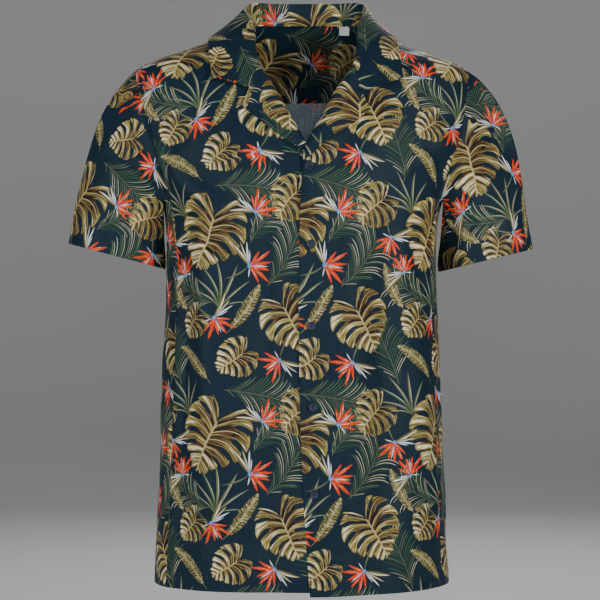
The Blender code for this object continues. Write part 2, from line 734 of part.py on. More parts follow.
def build_collar(name, fronts, yoke):
    """Stand up from the neck seam, round the fold, and the fall down to the outer edge.

    At each end the fold closes in on the front's edge and the profile follows the line to the
    notch, where the revers begins.
    """
    seam = neck_edge(fronts, yoke)
    run = np.concatenate([[0], np.cumsum(np.linalg.norm(np.diff(seam, axis=0), axis=1))])
    part = 2 * run / run[-1] - 1
    side = np.where(part < 0, -1.0, 1.0)
    past, out, right_x, left_x, edge_y, edge_z, bow = (
        value[:, None] for value in curve(COLLAR, COLLAR_COLUMNS, np.abs(part), COLLAR_COLUMNS[1:])
    )
    edge_x = NECK_X + np.where(side[:, None] < 0, -right_x, left_x)
    edge = np.concatenate([edge_x, edge_y, edge_z], axis=1)
    edge = stand_off(edge, LEAF_LIFT)
    notch_x, notch_z = np.array([revers_edge(hand, 0.0) for hand in side]).T
    notch = front_place(NECK_X + side * notch_x, notch_z, LEAF_LIFT + 0 * part)

    up = unit(level_slope(seam))
    off = unit(np.cross(np.gradient(seam, axis=0), up))
    end = ramp(np.abs(part), 0.80, 1.0)[:, None]
    over = unit(notch - seam)
    over = unit(over - up * (over * up).sum(axis=1, keepdims=True))
    off = unit(off * (1 - end) - over * end)
    foot = seam + off * (GAP + COLLAR_WALL / 2 + SPLIT * (0.5 + 1.5 * end)) - up * WALL / 2
    fold = even_out(even_out(seam + off * past + up * out))
    outward = unit((fold - [NECK_X, 0.006, 0]) * [1, 1, 0])
    outward = unit(outward * (1 - end) + over * end)
    top = unit(np.array([0.0, 0.0, 1.0]) * (1 - end) + up * end)
    radius = FOLD_RADIUS + (FOLD_RADIUS_END - FOLD_RADIUS) * end
    heart = fold - top * radius
    bend = []
    for degrees, degrees_end in zip(BEND, BEND_END):
        turned = np.radians(degrees + (degrees_end - degrees) * end)
        bend.append(heart + (outward * np.cos(turned) + top * np.sin(turned)) * radius)
    stand = [bend[0] + (foot - bend[0]) * step for step in STAND_STEPS]
    start = bend[-1]
    pull = (start + edge) / 2 + outward * bow
    fall = []
    for t in FALL_STEPS:
        round_ = start * (1 - t) ** 2 + pull * 2 * t * (1 - t) + edge * t ** 2
        through = start + (notch - start) * 2 * t if t <= 0.5 else notch + (edge - notch) * (2 * t - 1)
        fall.append(round_ * (1 - end) + through * end)
    fall = np.stack(fall, axis=1)
    low = ramp(-fall[..., 2], -0.03, -0.01)[..., None]
    fall = fall + (stand_off(fall, LEAF_LIFT) - fall) * low
    points = np.concatenate([np.stack(stand + bend, axis=1), fall], axis=1)
    points[0] += across(seam[1] - seam[0], over[0]) * SPLIT
    points[-1] += across(seam[-2] - seam[-1], over[-1]) * SPLIT
    half = even_normals(points) * COLLAR_WALL / 2
    add_wall(name, points + half, points - half, PRINTED_COTTON)


def revers_edge(side, part):
    """x and height of a revers's outer edge."""
    columns = ("right_x", "right_z") if side < 0 else ("left_x", "left_z")
    return line(REVERS, REVERS_COLUMNS, part, columns)


def across(step, direction):
    """The part of a step that is square to a direction, as a unit vector."""
    return unit(step - direction * (step @ direction))


def roll_lift(distance):
    return np.interp(distance, *(column(ROLL, ROLL_COLUMNS, n) for n in ROLL_COLUMNS))


def even_normals(points):
    """Normals of a grid whose steps differ in length: each step counts the same."""
    def steps(axis):
        step = unit(np.diff(points, axis=axis))
        first, last = np.take(step, [0], axis=axis), np.take(step, [-1], axis=axis)
        before = np.concatenate([first, step], axis=axis)
        after = np.concatenate([step, last], axis=axis)
        return unit(before + after)

    return unit(np.cross(steps(1), steps(0)))


def build_revers(name, side):
    """The turned-back front edge: ruled from the roll line to its outer edge, lying on the front."""
    part = np.linspace(0, 1, REVERS_ROWS[side])
    outer_x, outer_z = revers_edge(side, part)
    rows = COLLAR_START + (REVERS_FOOT[side] - COLLAR_START) * part
    roll_x, roll_z = line(NECKLINE, NECKLINE_COLUMNS, rows, ("x", "height"))
    width = np.hypot(outer_x - roll_x, outer_z - roll_z)
    distances = column(ROLL, ROLL_COLUMNS, "distance")[:-1]
    steps = [np.minimum(d, width * (k + 0.3) / 8) for k, d in enumerate(distances)]
    steps += [steps[-1] + (width - steps[-1]) * f for f in (0.5, 1.0)]
    distance = np.stack(steps, axis=1)
    f = distance / width[:, None]
    x = roll_x[:, None] * (1 - f) + outer_x[:, None] * f
    z = roll_z[:, None] * (1 - f) + outer_z[:, None] * f
    lift = roll_lift(distance)
    narrow = np.clip(1 - width / ROLL_FULL, 0, 1)[:, None]
    lift = lift - np.clip(lift - LEAF_LIFT, 0, None) * narrow
    turn = front_turn(NECK_X + side * x, z)
    points = front_place(NECK_X + side * x, z, lift + front_lift(side, turn, z))
    room = np.where(distances[0] < distance[0], 1.0, 2.5)[:, None] * SPLIT
    points[0] += across(points[1, 1] - points[0, 1], unit(points[0, -1] - points[0, 1])) * room
    normals = side * even_normals(points) * -1
    normals[:, -2:] = unit(level_slope(points[:, -2:]))
    half = normals * COLLAR_WALL / 2
    add_wall(name, points + half, points - half, FACING_COTTON)


# ---------------------------------------------------------------- buttons and label

def build_button(name, x, height):
    """A turned disc with a raised rim, standing on the left front."""
    turn = front_turn(x, height)
    place, normal = cloth(turn, height, front_lift(1, turn, height))
    up = np.array([0.0, 0.0, 1.0])
    right = unit(np.cross(up, normal))
    up = np.cross(normal, right)
    profile = (
        (BUTTON_RADIUS * 0.80, 0.0),
        (BUTTON_RADIUS, BUTTON_THICK * 0.40),
        (BUTTON_RADIUS, BUTTON_THICK * 0.75),
        (BUTTON_RADIUS - BUTTON_RIM * 0.5, BUTTON_THICK),
        (BUTTON_RADIUS - BUTTON_RIM * 1.3, BUTTON_THICK - BUTTON_DISH),
    )
    angle = np.radians(np.arange(BUTTON_SIDES) * 360 / BUTTON_SIDES)
    around = np.cos(angle)[:, None] * right + np.sin(angle)[:, None] * up
    base = place + normal * GAP
    rings = [base + around * radius + normal * rise for radius, rise in profile]
    ends = [base + normal * profile[0][1], base + normal * profile[-1][1]]
    points = np.concatenate(rings + [np.array(ends)])
    index = np.arange(BUTTON_SIDES)
    after = (index + 1) % BUTTON_SIDES
    faces = []
    for ring in range(len(profile) - 1):
        a, b = ring * BUTTON_SIDES, (ring + 1) * BUTTON_SIDES
        faces += [[a + i, a + j, b + j, b + i] for i, j in zip(index, after)]
    last = (len(profile) - 1) * BUTTON_SIDES
    low, high = len(points) - 2, len(points) - 1
    faces += [[low, j, i] for i, j in zip(index, after)]
    faces += [[high, last + i, last + j] for i, j in zip(index, after)]
    add_mesh(name, points, faces, BUTTON_BLUE)


def build_label(name, inside):
    """A small bare tape hanging inside the back neck from the collar seam, on the inner yoke."""
    neck, below = inside[-1], inside[-2]
    behind = np.arange(SHOULDER_COLUMNS, len(neck) // 2)
    x = LABEL_X + np.linspace(0.5, -0.5, 3) * LABEL_WIDTH
    place = np.interp(-x, -neck[behind, 0], behind)
    top, lower = (
        np.stack([np.interp(place, behind, row[behind, axis]) for axis in range(3)], axis=1)
        for row in (neck, below)
    )
    drops = np.linspace(0, 1, 4)[:, None, None] * LABEL_HEIGHT + GAP
    points = top + unit(lower - top) * drops
    normals = -unit(level_slope(points))
    face = points + normals * (LABEL_OFF + LABEL_THICK)
    add_wall(name, face, points + normals * LABEL_OFF, WHITE_TAPE)


# ---------------------------------------------------------------- scene

def clear_scene():
    for piece in list(bpy.data.objects):
        bpy.data.objects.remove(piece, do_unlink=True)


def main():
    clear_scene()
    fronts = {-1: build_front("front_right", -1), 1: build_front("front_left", 1)}
    back, back_turn, back_height = build_back("back")
    yoke, inside = build_yoke("yoke", "yoke_inner", back_turn, back_height)
    build_sleeve("sleeve_right", -1, fronts[-1], back, yoke)
    build_sleeve("sleeve_left", 1, fronts[1], back, yoke)
    build_collar("collar", fronts, yoke)
    build_revers("lapel_right", -1)
    build_revers("lapel_left", 1)
    for number, (height, x) in enumerate(BUTTONS, start=1):
        build_button(f"button_{number}", x, height)
    build_label("size_label", inside)


main()
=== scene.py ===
import math

import bpy
import numpy as np
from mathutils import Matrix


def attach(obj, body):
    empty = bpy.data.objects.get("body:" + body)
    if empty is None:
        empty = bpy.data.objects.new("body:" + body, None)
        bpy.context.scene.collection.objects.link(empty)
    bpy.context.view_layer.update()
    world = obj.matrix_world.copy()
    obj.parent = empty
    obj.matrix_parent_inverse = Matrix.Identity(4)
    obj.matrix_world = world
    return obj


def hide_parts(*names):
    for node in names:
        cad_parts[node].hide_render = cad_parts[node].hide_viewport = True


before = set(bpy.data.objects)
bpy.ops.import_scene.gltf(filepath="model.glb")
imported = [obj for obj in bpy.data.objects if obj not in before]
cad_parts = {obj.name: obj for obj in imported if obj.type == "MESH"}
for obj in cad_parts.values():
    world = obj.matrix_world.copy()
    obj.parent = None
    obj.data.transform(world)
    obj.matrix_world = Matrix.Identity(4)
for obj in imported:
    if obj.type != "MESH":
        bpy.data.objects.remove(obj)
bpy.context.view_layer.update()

# The shirt hangs filled out, front to -Y, wearer's left to +X, neck base at the origin.
# Every panel is a fine surface on one form: level sections, each a squared ellipse, where a place
# is a turn (degrees from the centre front, positive to the wearer's left) and a height.


# ---- camera, light and floor

view = dict(x=-0.002, z=-0.348, distance=3.0, pixels=600, metresPerPixel=0.00132, sensor=36.0)
stage = dict(
    floor=-0.90, wall=4.4, bend=1.4, bendSteps=16, halfWidth=5.0, near=-4.5, top=3.2,
    colour=(0.78, 0.78, 0.775, 1.0), roughness=0.9,
)
lamps = dict(  # place, size, watts, colour, aimed at
    key=((1.62, -1.92, 0.40), 0.5, 36, (1.0, 0.985, 0.96), (-0.02, 0.0, -0.26)),
    fill=((-2.00, -1.62, 0.20), 0.9, 29, (0.97, 0.985, 1.0), (0.0, 0.0, -0.30)),
    front=((0.05, -2.75, -0.15), 0.5, 11, (1.0, 1.0, 1.0), (0.0, 0.0, -0.20)),
    top=((0.0, -0.4, 1.9), 1.6, 2, (1.0, 1.0, 1.0), (0.0, 0.0, -0.2)),
    back=((0.3, 2.0, 1.2), 1.5, 24, (1.0, 1.0, 1.0), (0.0, 0.0, -0.35)),
)
sky = dict(colour=(0.93, 0.95, 1.0, 1.0), level=0.10)


def addObject(name, data):
    holder = bpy.data.objects.new(name, data)
    bpy.context.scene.collection.objects.link(holder)
    return holder


def addCamera():
    camera = bpy.data.cameras.new("camera")
    camera.sensor_width = view["sensor"]
    camera.lens = view["sensor"] * view["distance"] / (view["pixels"] * view["metresPerPixel"])
    holder = addObject("camera", camera)
    holder.location = (view["x"], -view["distance"], view["z"])
    holder.rotation_euler = (math.pi / 2, 0, 0)
    bpy.context.scene.camera = holder


def addLamps():
    for name, (place, size, watts, colour, aim) in lamps.items():
        light = bpy.data.lights.new(name, "AREA")
        light.shape = "DISK"
        light.size, light.energy, light.color = size, watts, colour
        holder = addObject(name, light)
        holder.location = place
        away = holder.location - type(holder.location)(aim)
        holder.rotation_euler = away.to_track_quat("Z", "Y").to_euler()
    world = bpy.data.worlds.new("soft sky")
    world.use_nodes = True
    background = world.node_tree.nodes["Background"].inputs
    background["Color"].default_value = sky["colour"]
    background["Strength"].default_value = sky["level"]
    bpy.context.scene.world = world


# floor that bends up into a wall: straight, quarter circle, straight
def addStage():
    turn = np.linspace(0, np.pi / 2, stage["bendSteps"] + 1)
    bend, wall = stage["bend"], stage["wall"]
    y = np.concatenate([[stage["near"]], wall - bend + bend * np.sin(turn), [wall]])
    z = np.concatenate([[0.0], bend * (1 - np.cos(turn)), [stage["top"]]]) + stage["floor"]
    points = [(side * stage["halfWidth"], *place) for side in (-1, 1) for place in zip(y, z)]
    count = len(y)
    faces = [(i, i + count, i + count + 1, i + 1) for i in range(count - 1)]
    fixed = {"Base Color": stage["colour"], "Roughness": stage["roughness"]}
    addMesh("floor", points, faces, [newMaterial("plain floor", fixed)])


# ---- small maths

# 0 before start, 1 past end, soft at both
def ramp(value, start, end):
    f = np.clip((value - start) / (end - start), 0, 1)
    return f * f * (3 - 2 * f)


def unit(vectors):
    return vectors / np.maximum(np.linalg.norm(vectors, axis=-1, keepdims=True), 1e-12)


# curve from start to end, with its slopes there measured over the whole way
def cubic(start, end, slopeStart, slopeEnd, f):
    return (start * (1 + 2 * f) * (1 - f) ** 2 + end * f ** 2 * (3 - 2 * f)
            + slopeStart * f * (1 - f) ** 2 - slopeEnd * f ** 2 * (1 - f))


# curve from start to end, drawn towards a bend
def bent(start, bend, end, f):
    return start * (1 - f) ** 2 + bend * 2 * f * (1 - f) + end * f ** 2


# length run along an axis up to each point
def runs(points, axis=0):
    steps = np.linalg.norm(np.diff(points, axis=axis), axis=-1)
    return np.insert(np.cumsum(steps, axis=axis), 0, 0, axis=axis)


# cubic through a table's values, each slope the mean of the slopes on both sides of it
def smooth(at, places, values):
    at = np.clip(at, places[0], places[-1])
    steps = np.diff(values) / np.diff(places)
    slopes = np.concatenate([steps[:1], (steps[1:] + steps[:-1]) / 2, steps[-1:]])
    i = np.clip(np.searchsorted(places, at) - 1, 0, len(places) - 2)
    width = places[i + 1] - places[i]
    return cubic(values[i], values[i + 1], slopes[i] * width, slopes[i + 1] * width,
                 (at - places[i]) / width)


# smooth reading of a table's columns, at places of its first column
def read(rows, at):
    columns = np.array(rows, float).T
    return [smooth(at, columns[0], values) for values in columns[1:]]


# ---- the form

form = dict(
    neckX=0.006, neckFrom=-0.025, neckTo=0.012,  # the neck's middle, and where the form moves to it
    setTurn=3.5, setTop=-0.046, setFull=-0.110,  # the body sits turned a little to the left
    sections=(  # height, half width, depth in front, depth behind, squareness
        (-0.730, 0.1940, 0.136, 0.126, 2.50),
        (-0.697, 0.1925, 0.136, 0.126, 2.50),
        (-0.602, 0.1880, 0.135, 0.122, 2.50),
        (-0.475, 0.1835, 0.133, 0.115, 2.50),
        (-0.380, 0.1795, 0.132, 0.113, 2.50),
        (-0.317, 0.1775, 0.131, 0.117, 2.45),
        (-0.250, 0.1785, 0.129, 0.124, 2.40),
        (-0.222, 0.1840, 0.127, 0.127, 2.40),
        (-0.198, 0.1950, 0.123, 0.129, 2.35),
        (-0.170, 0.2090, 0.117, 0.130, 2.30),
        (-0.140, 0.2190, 0.109, 0.129, 2.25),
        (-0.115, 0.2240, 0.100, 0.126, 2.20),
        (-0.085, 0.2260, 0.088, 0.121, 2.20),
        (-0.060, 0.2243, 0.077, 0.114, 2.20),
        (-0.046, 0.2190, 0.069, 0.109, 2.20),
        (-0.031, 0.1900, 0.060, 0.102, 2.15),
        (-0.0206, 0.1580, 0.053, 0.096, 2.15),
        (-0.005, 0.1190, 0.042, 0.086, 2.15),
        (0.0095, 0.0850, 0.034, 0.076, 2.20),
        (0.021, 0.0740, 0.030, 0.069, 2.30),
        (0.032, 0.0640, 0.026, 0.062, 2.30),
    ),
)


def middle(height):
    return form["neckX"] * ramp(height, form["neckFrom"], form["neckTo"])


# point of the form: x and y are powers of sine and cosine, times the section's half sizes
def onForm(turn, height):
    halfWidth, front, back, square = read(form["sections"], height)
    angle = np.radians(turn)
    sine, cosine = np.sin(angle), np.cos(angle)
    x = middle(height) + halfWidth * np.sign(sine) * np.abs(sine) ** (2 / square)
    y = np.where(cosine > 0, -front, back) * np.abs(cosine) ** (2 / square)
    return np.stack([x, y, height + 0 * x], axis=-1)


def formNormal(turn, height, stepTurn=0.05, stepUp=0.0005):
    height = np.clip(height, form["sections"][0][0] + stepUp, form["sections"][-1][0] - stepUp)
    across = onForm(turn + stepTurn, height) - onForm(turn - stepTurn, height)
    up = onForm(turn, height + stepUp) - onForm(turn, height - stepUp)
    return unit(np.cross(across, up))


# turn of the point in front that has this x at this height
def frontTurn(x, height):
    halfWidth, *_, square = read(form["sections"], height)
    part = np.clip(np.abs(x - middle(height)) / halfWidth, 0, 1)
    return np.sign(x - middle(height)) * np.degrees(np.arcsin(part ** (square / 2)))


# a half pattern's turn, set on the form; side is -1 for the right half and 1 for the left
def setTurn(side, turn, height):
    return side * turn + form["setTurn"] * ramp(height, form["setTop"], form["setFull"])


# above 0 outside the form, below 0 inside it
def level(points):
    halfWidth, front, back, square = read(form["sections"], points[..., 2])
    depth = np.where(points[..., 1] < 0, front, back)
    x = np.abs(points[..., 0] - middle(points[..., 2])) / halfWidth
    y = np.abs(points[..., 1]) / depth
    return (x ** square + y ** square) ** (1 / square) - 1


def levelSlope(points, step=0.0004):
    sides = [level(points + step * axis) - level(points - step * axis) for axis in np.eye(3)]
    return np.stack(sides, axis=-1) / (2 * step)


# pushes points out until they are at least this far from the form
def standOff(points, least, rounds=6, longest=0.01):
    for _ in range(rounds):
        slope = levelSlope(points)
        size = np.linalg.norm(slope, axis=-1)
        short = np.clip(least - level(points) / size, 0, longest)
        points = points + slope * (short / size)[..., None]
    return points


# ---- grids

# a grid's row or column along one of its four sides, or some steps in from it
def sideOf(grid, side, step=0):
    at = step if side in ("bottom", "left") else -1 - step
    return grid[at] if side in ("bottom", "top") else grid[:, at]


# four-sided faces of a grid of point numbers; more grids may lie along the first axes
def quads(index):
    low, high = index[..., :-1, :], index[..., 1:, :]
    corners = [low[..., :-1], low[..., 1:], high[..., 1:], high[..., :-1]]
    return np.stack(corners, axis=-1).reshape(-1, 4)


# closes a grid with its first column
def wrapped(grid):
    return np.concatenate([grid, grid[..., :1]], axis=-1)


# cubic through every grid point (Catmull-Rom), `times` points for each step along one axis
def refineAxis(grid, times, axis, closed):
    grid = np.moveaxis(grid, axis, 0)
    if closed:
        padded = np.concatenate([grid[-1:], grid, grid[:2]])
    else:
        padded = np.concatenate([2 * grid[:1] - grid[1:2], grid, 2 * grid[-1:] - grid[-2:-1]])
    a, b, c, d = padded[:-3], padded[1:-2], padded[2:-1], padded[3:]
    fine = [cubic(b, c, (c - a) / 2, (d - b) / 2, f) for f in np.arange(times) / times]
    fine = np.stack(fine, axis=1).reshape(-1, *grid.shape[1:])
    if not closed:
        fine = np.concatenate([fine, grid[-1:]])
    return np.moveaxis(fine, 0, axis)


def refine(grid, rowTimes, columnTimes, closed=False):
    return refineAxis(refineAxis(grid, rowTimes, 0, False), columnTimes, 1, closed)


def gridNormals(points, closed=False):
    across = np.gradient(points, axis=1)
    if closed:
        across = np.roll(points, -1, axis=1) - np.roll(points, 1, axis=1)
    return unit(np.cross(across, np.gradient(points, axis=0)))


# lays a grid flat: starts from its rows' and columns' own lengths, then every edge and both
# diagonals pull towards their length in space, many times
def flatten(points, rounds=500, haste=1.6):
    across = runs(points, 1)
    middles = across[:, across.shape[1] // 2]
    flat = np.stack([across - middles[:, None], runs(points)], axis=-1)
    rows, columns = points.shape[:2]
    count = np.zeros((rows, columns, 1))
    pairs = []
    for down, right in ((0, 1), (1, 0), (1, 1), (1, -1)):
        here = (slice(0, rows - down), slice(max(0, -right), columns - max(0, right)))
        there = (slice(down, rows), slice(max(0, right), columns + min(0, right)))
        pairs.append((here, there, np.linalg.norm(points[there] - points[here], axis=-1)))
        count[here] += 1
        count[there] += 1
    for _ in range(rounds):
        move = np.zeros_like(flat)
        for here, there, length in pairs:
            gap = flat[there] - flat[here]
            now = np.maximum(np.linalg.norm(gap, axis=-1), 1e-9)
            pull = gap * ((now - length) / now / 2)[..., None]
            move[here] += pull
            move[there] -= pull
        flat = flat + move / count * haste
    return flat


# turns and moves a flat grid so that one of its lines runs straight up from (0, 0)
def setGrain(flat, low, high):
    run = flat[high] - flat[low]
    turn = np.arctan2(run[0], run[1])
    spin = np.array([[np.cos(turn), np.sin(turn)], [-np.sin(turn), np.cos(turn)]])
    return (flat - flat[low]) @ spin


# coarse flattening of a fine grid, read back at every point
def flattenFine(points, low, high, step=6):
    rows, columns = (np.unique(np.append(np.arange(0, size, step), size - 1))
                     for size in points.shape[:2])
    coarse = flatten(points[np.ix_(rows, columns)])
    everyRow, everyColumn = (np.arange(size) for size in points.shape[:2])
    byRow = np.stack([[smooth(everyRow, rows, coarse[:, j, k]) for j in range(len(columns))]
                      for k in range(2)])
    flat = np.stack([[smooth(everyColumn, columns, byRow[k, :, i]) for i in everyRow]
                     for k in range(2)], axis=-1)
    return setGrain(flat, low, high)


# ---- shader maths

# a math node's operation as a method; turned, the other value comes first
def maths(operation, turned=False):
    def apply(self, *others):
        inputs = (*others, self) if turned else (self, *others)
        return self.node("ShaderNodeMath", dict(operation=operation), dict(enumerate(inputs)))

    return apply


# A shader value that adds, multiplies and compares by making nodes.
class Value:
    def __init__(self, tree, socket):
        self.tree, self.socket = tree, socket

    # any node: its settings, then its inputs by place or name, then the output to go on from
    def node(self, kind, settings, inputs, output=0):
        node = self.tree.nodes.new(kind)
        for key, value in settings.items():
            setattr(node, key, value)
        for key, value in inputs.items():
            if isinstance(value, Value):
                self.tree.links.new(value.socket, node.inputs[key])
            else:
                node.inputs[key].default_value = value
        return Value(self.tree, node.outputs[output])

    __add__ = __radd__ = maths("ADD")
    __mul__ = __rmul__ = maths("MULTIPLY")
    __sub__, __rsub__ = maths("SUBTRACT"), maths("SUBTRACT", turned=True)
    __truediv__, __rtruediv__ = maths("DIVIDE"), maths("DIVIDE", turned=True)
    __pow__, __abs__ = maths("POWER"), maths("ABSOLUTE")
    fraction, floor, sine = maths("FRACT"), maths("FLOOR"), maths("SINE")
    least, most, above = maths("MINIMUM"), maths("MAXIMUM"), maths("GREATER_THAN")

    def clamp(self):
        return self.node("ShaderNodeClamp", {}, {0: self})

    # 0 before start, 1 past end, soft at both
    def ramp(self, start, end):
        return self.node("ShaderNodeMapRange", dict(interpolation_type="SMOOTHSTEP"),
                         {0: self, 1: start, 2: end})

    def parts(self, count=3):
        return [self.node("ShaderNodeSeparateXYZ", {}, {0: self}, k) for k in range(count)]

    # this value as a height, felt as a normal
    def bump(self, strength, distance):
        return self.node("ShaderNodeBump", {},
                         {"Strength": strength, "Distance": distance, "Height": self})


def vector(a, b, c):
    return a.node("ShaderNodeCombineXYZ", {}, {0: a, 1: b, 2: c})


def noise(a, b, c):
    inputs = {"Vector": vector(a, b, c), "Scale": 1.0, "Detail": 1.0}
    return a.node("ShaderNodeTexNoise", {}, inputs)


# the same chance all over a leaf's lobe or leaflet
def random(rung, side, seed):
    number = (seed * 100.0 + 0.5).floor()
    return rung.node("ShaderNodeTexWhiteNoise", {}, {"Vector": vector(rung.floor(), side, number)})


# one colour over another; a colour is an ink's name, four numbers or a shader value
def paint(under, over, amount):
    under, over = (inks.get(colour, colour) for colour in (under, over))
    return amount.node("ShaderNodeMix", dict(data_type="RGBA"), {0: amount, 6: under, 7: over}, 2)


def paintAll(colour, *coats):
    for over, amount in coats:
        colour = paint(colour, over, amount)
    return colour


# A material with fixed values on its shader; `vary` builds nodes and says what they feed.
def newMaterial(name, fixed, vary=None):
    material = bpy.data.materials.new(name)
    material.use_nodes = True
    tree = material.node_tree
    shader = tree.nodes["Principled BSDF"]
    for key, value in fixed.items():
        shader.inputs[key].default_value = value
    for key, value in (vary(Value(tree, None)) if vary else {}).items():
        tree.links.new(value.socket, shader.inputs[key])
    return material


# ---- motifs: each is painted over what lies under it, from local coordinates where 1 is its size

inks = dict(
    ground=(0.0040, 0.0160, 0.0290), groundLight=(0.0080, 0.0265, 0.0450),
    brown=(0.150, 0.078, 0.032), dark=(0.020, 0.012, 0.009), olive=(0.145, 0.133, 0.044),
    gold=(0.370, 0.300, 0.075), cream=(0.920, 0.790, 0.600), rib=(0.520, 0.440, 0.200),
    deep=(0.012, 0.042, 0.024), leaf=(0.042, 0.105, 0.044), sage=(0.130, 0.155, 0.078),
    straw=(0.600, 0.550, 0.410), bark=(0.030, 0.028, 0.014), orange=(0.740, 0.058, 0.004),
    blush=(0.950, 0.680, 0.560), white=(0.860, 0.890, 0.930), sky=(0.150, 0.400, 0.750),
    violet=(0.080, 0.050, 0.260),
)
inks = {name: (*colour, 1.0) for name, colour in inks.items()}
leafTones = (  # ink, and where the leaf's tone takes it up
    ("brown", 0.32, 0.36),
    ("olive", 0.44, 0.46),
    ("gold", 0.51, 0.54),
)


# Split leaf. Lobes run out from the midrib and bend towards the tip; a slit opens between two.
def monstera(under, x, y, seed):
    x = x - (seed - 0.5) * 0.5 * (y * y - 0.12)
    side = x.above(0.0)
    a, b = abs(x) * 1.02, y * 1.05 + 0.14
    reach = (a * a + b * b) ** 0.5
    turn = b / (reach + 0.001)
    heart = ((turn + 0.98) * 7.0).clamp() ** 0.5 + 0.01
    rung = (b + 1.35 * a - 1.6 * a * a) / (1.0 + 3.6 * a) * 10.6 + side * 0.5 + seed * 7.0
    lobe = rung.fraction() * 2.0 - 1.0
    chance, slit = random(rung, side, seed), random(rung + 0.5, side + 3.0, seed)
    tip = turn.ramp(0.90, 0.995)
    edge = (0.51 + 0.10 * turn + 0.09 * tip * tip) * heart
    out = reach / edge
    limit = 0.98 + 0.05 * lobe - 0.05 * lobe * lobe - 0.04 * chance
    closing = (1.0 - slit.ramp(0.55, 0.75) * 0.8) * out.ramp(0.66, 0.90)
    gape = (out - 0.22 - 0.20 * slit).ramp(0.0, 0.20) * (1.0 - closing) * 0.33
    gape = gape * (a - 0.05 - 0.08 * slit).ramp(0.0, 0.07) * (1.0 - turn.ramp(0.88, 0.98))
    within = 1.0 - abs(lobe) - gape
    streak = noise(rung * 4.2, out * 1.7, seed * 31.0)
    fine = noise(rung * 15.0, out * 4.0, seed * 17.0)
    band = 0.20 * (0.45 - abs(lobe - 0.30))
    tone = streak * 0.9 + fine * 0.5 + band + (side - 0.5) * 0.10 + (out - 0.6) * 0.22
    tone = tone + turn * 0.05 - 0.25
    rim = (0.16 - within).ramp(0.0, 0.08) * out.ramp(0.35, 0.5)
    outline = (out - limit + 0.07).ramp(0.0, 0.03)
    vein = (0.05 + 0.12 * (1.0 - out) - abs(lobe + 0.1)).ramp(0.0, 0.05)
    vein = vein * (1.0 - out.ramp(0.80, 0.98))
    midrib = (0.016 - a).ramp(0.0, 0.008) * b.ramp(-0.05, 0.0)
    colour = paintAll(
        "dark",
        *((ink, tone.ramp(start, end)) for ink, start, end in leafTones),
        ("cream", tone.ramp(0.61, 0.65) * out.ramp(0.25, 0.55)),
        (paint("dark", "gold", (lobe + 0.3).ramp(0.0, 0.3)), rim * 0.9),
        (paint("brown", "gold", streak.ramp(0.4, 0.5)), outline * 0.8),
        ("rib", vein * 0.95),
        ("rib", midrib),
    )
    return paint(under, colour, (limit - out).ramp(0.0, 0.02) * within.ramp(0.0, 0.06))


# Feathered leaf on a bent rib. Leaflets leave it at half a right angle and arch outwards.
def frond(under, x, y, seed):
    up = y + 0.5
    x = x - (seed - 0.5) * 0.9 * (up * up - up * 0.8)
    side, a = x.above(0.0), abs(x)
    foot = up - 1.45 * a + 1.7 * a * a
    rung = foot * 19.0 + side * 0.5 + seed * 5.0
    chance, other = random(rung, side, seed), random(rung, side + 5.0, seed)
    span = (foot.clamp() * (1.06 - foot).clamp() * 4.0) ** 0.5 * (0.24 + 0.24 * chance)
    along = a / (span + 0.001)
    width = ((along + 0.15).least(1.0) * (1.0 - along) * 4.0).clamp() * 0.44 + 0.06
    across = abs(rung.fraction() - 0.5 + (other - 0.5) * 0.8 * along) * 2.0
    leaflet = (width - across).ramp(0.0, 0.22) * (1.0 - along).ramp(0.0, 0.05)
    leaflet = leaflet * foot.ramp(0.0, 0.03) * (1.0 - foot).ramp(0.0, 0.02)
    bright = (other - 0.70 + (chance - 0.5) * 0.2).ramp(0.0, 0.06) * along.ramp(0.05, 0.3)
    rib = (0.008 - a).ramp(0.0, 0.005) * up.ramp(-0.02, 0.01) * (1.0 - up).ramp(0.0, 0.03)
    colour = paintAll(
        "deep",
        ("leaf", chance.ramp(0.25, 0.5)),
        ("sage", other.ramp(0.45, 0.65) * 0.9),
        ("straw", bright * (0.30 - across).ramp(0.0, 0.2) * 0.95),
        ("sage", rib),
    )
    return paint(under, colour, leaflet.most(rib))


sprayBlades = (  # turn, length, width, bend
    (-26, 0.60, 0.050, -0.52),
    (40, 0.56, 0.045, 0.36),
    (-16, 0.76, 0.060, -0.50),
    (26, 0.80, 0.055, 0.22),
    (-6, 0.92, 0.065, -0.44),
    (12, 0.94, 0.065, 0.06),
    (2, 1.00, 0.060, -0.24),
)


# Fan of arching leaves from one foot, each lit along one edge.
def spray(under, x, y, seed):
    colour = under
    for number, row in enumerate(sprayBlades):
        mask, across, along = petal(x, y + 0.46, *row)
        lit = (across - 0.05).ramp(0.0, 0.2) * along.ramp(0.2, 0.5) * 0.9
        colour = paint(colour, paint("leaf" if number % 3 == 1 else "sage", "straw", lit), mask)
    return colour


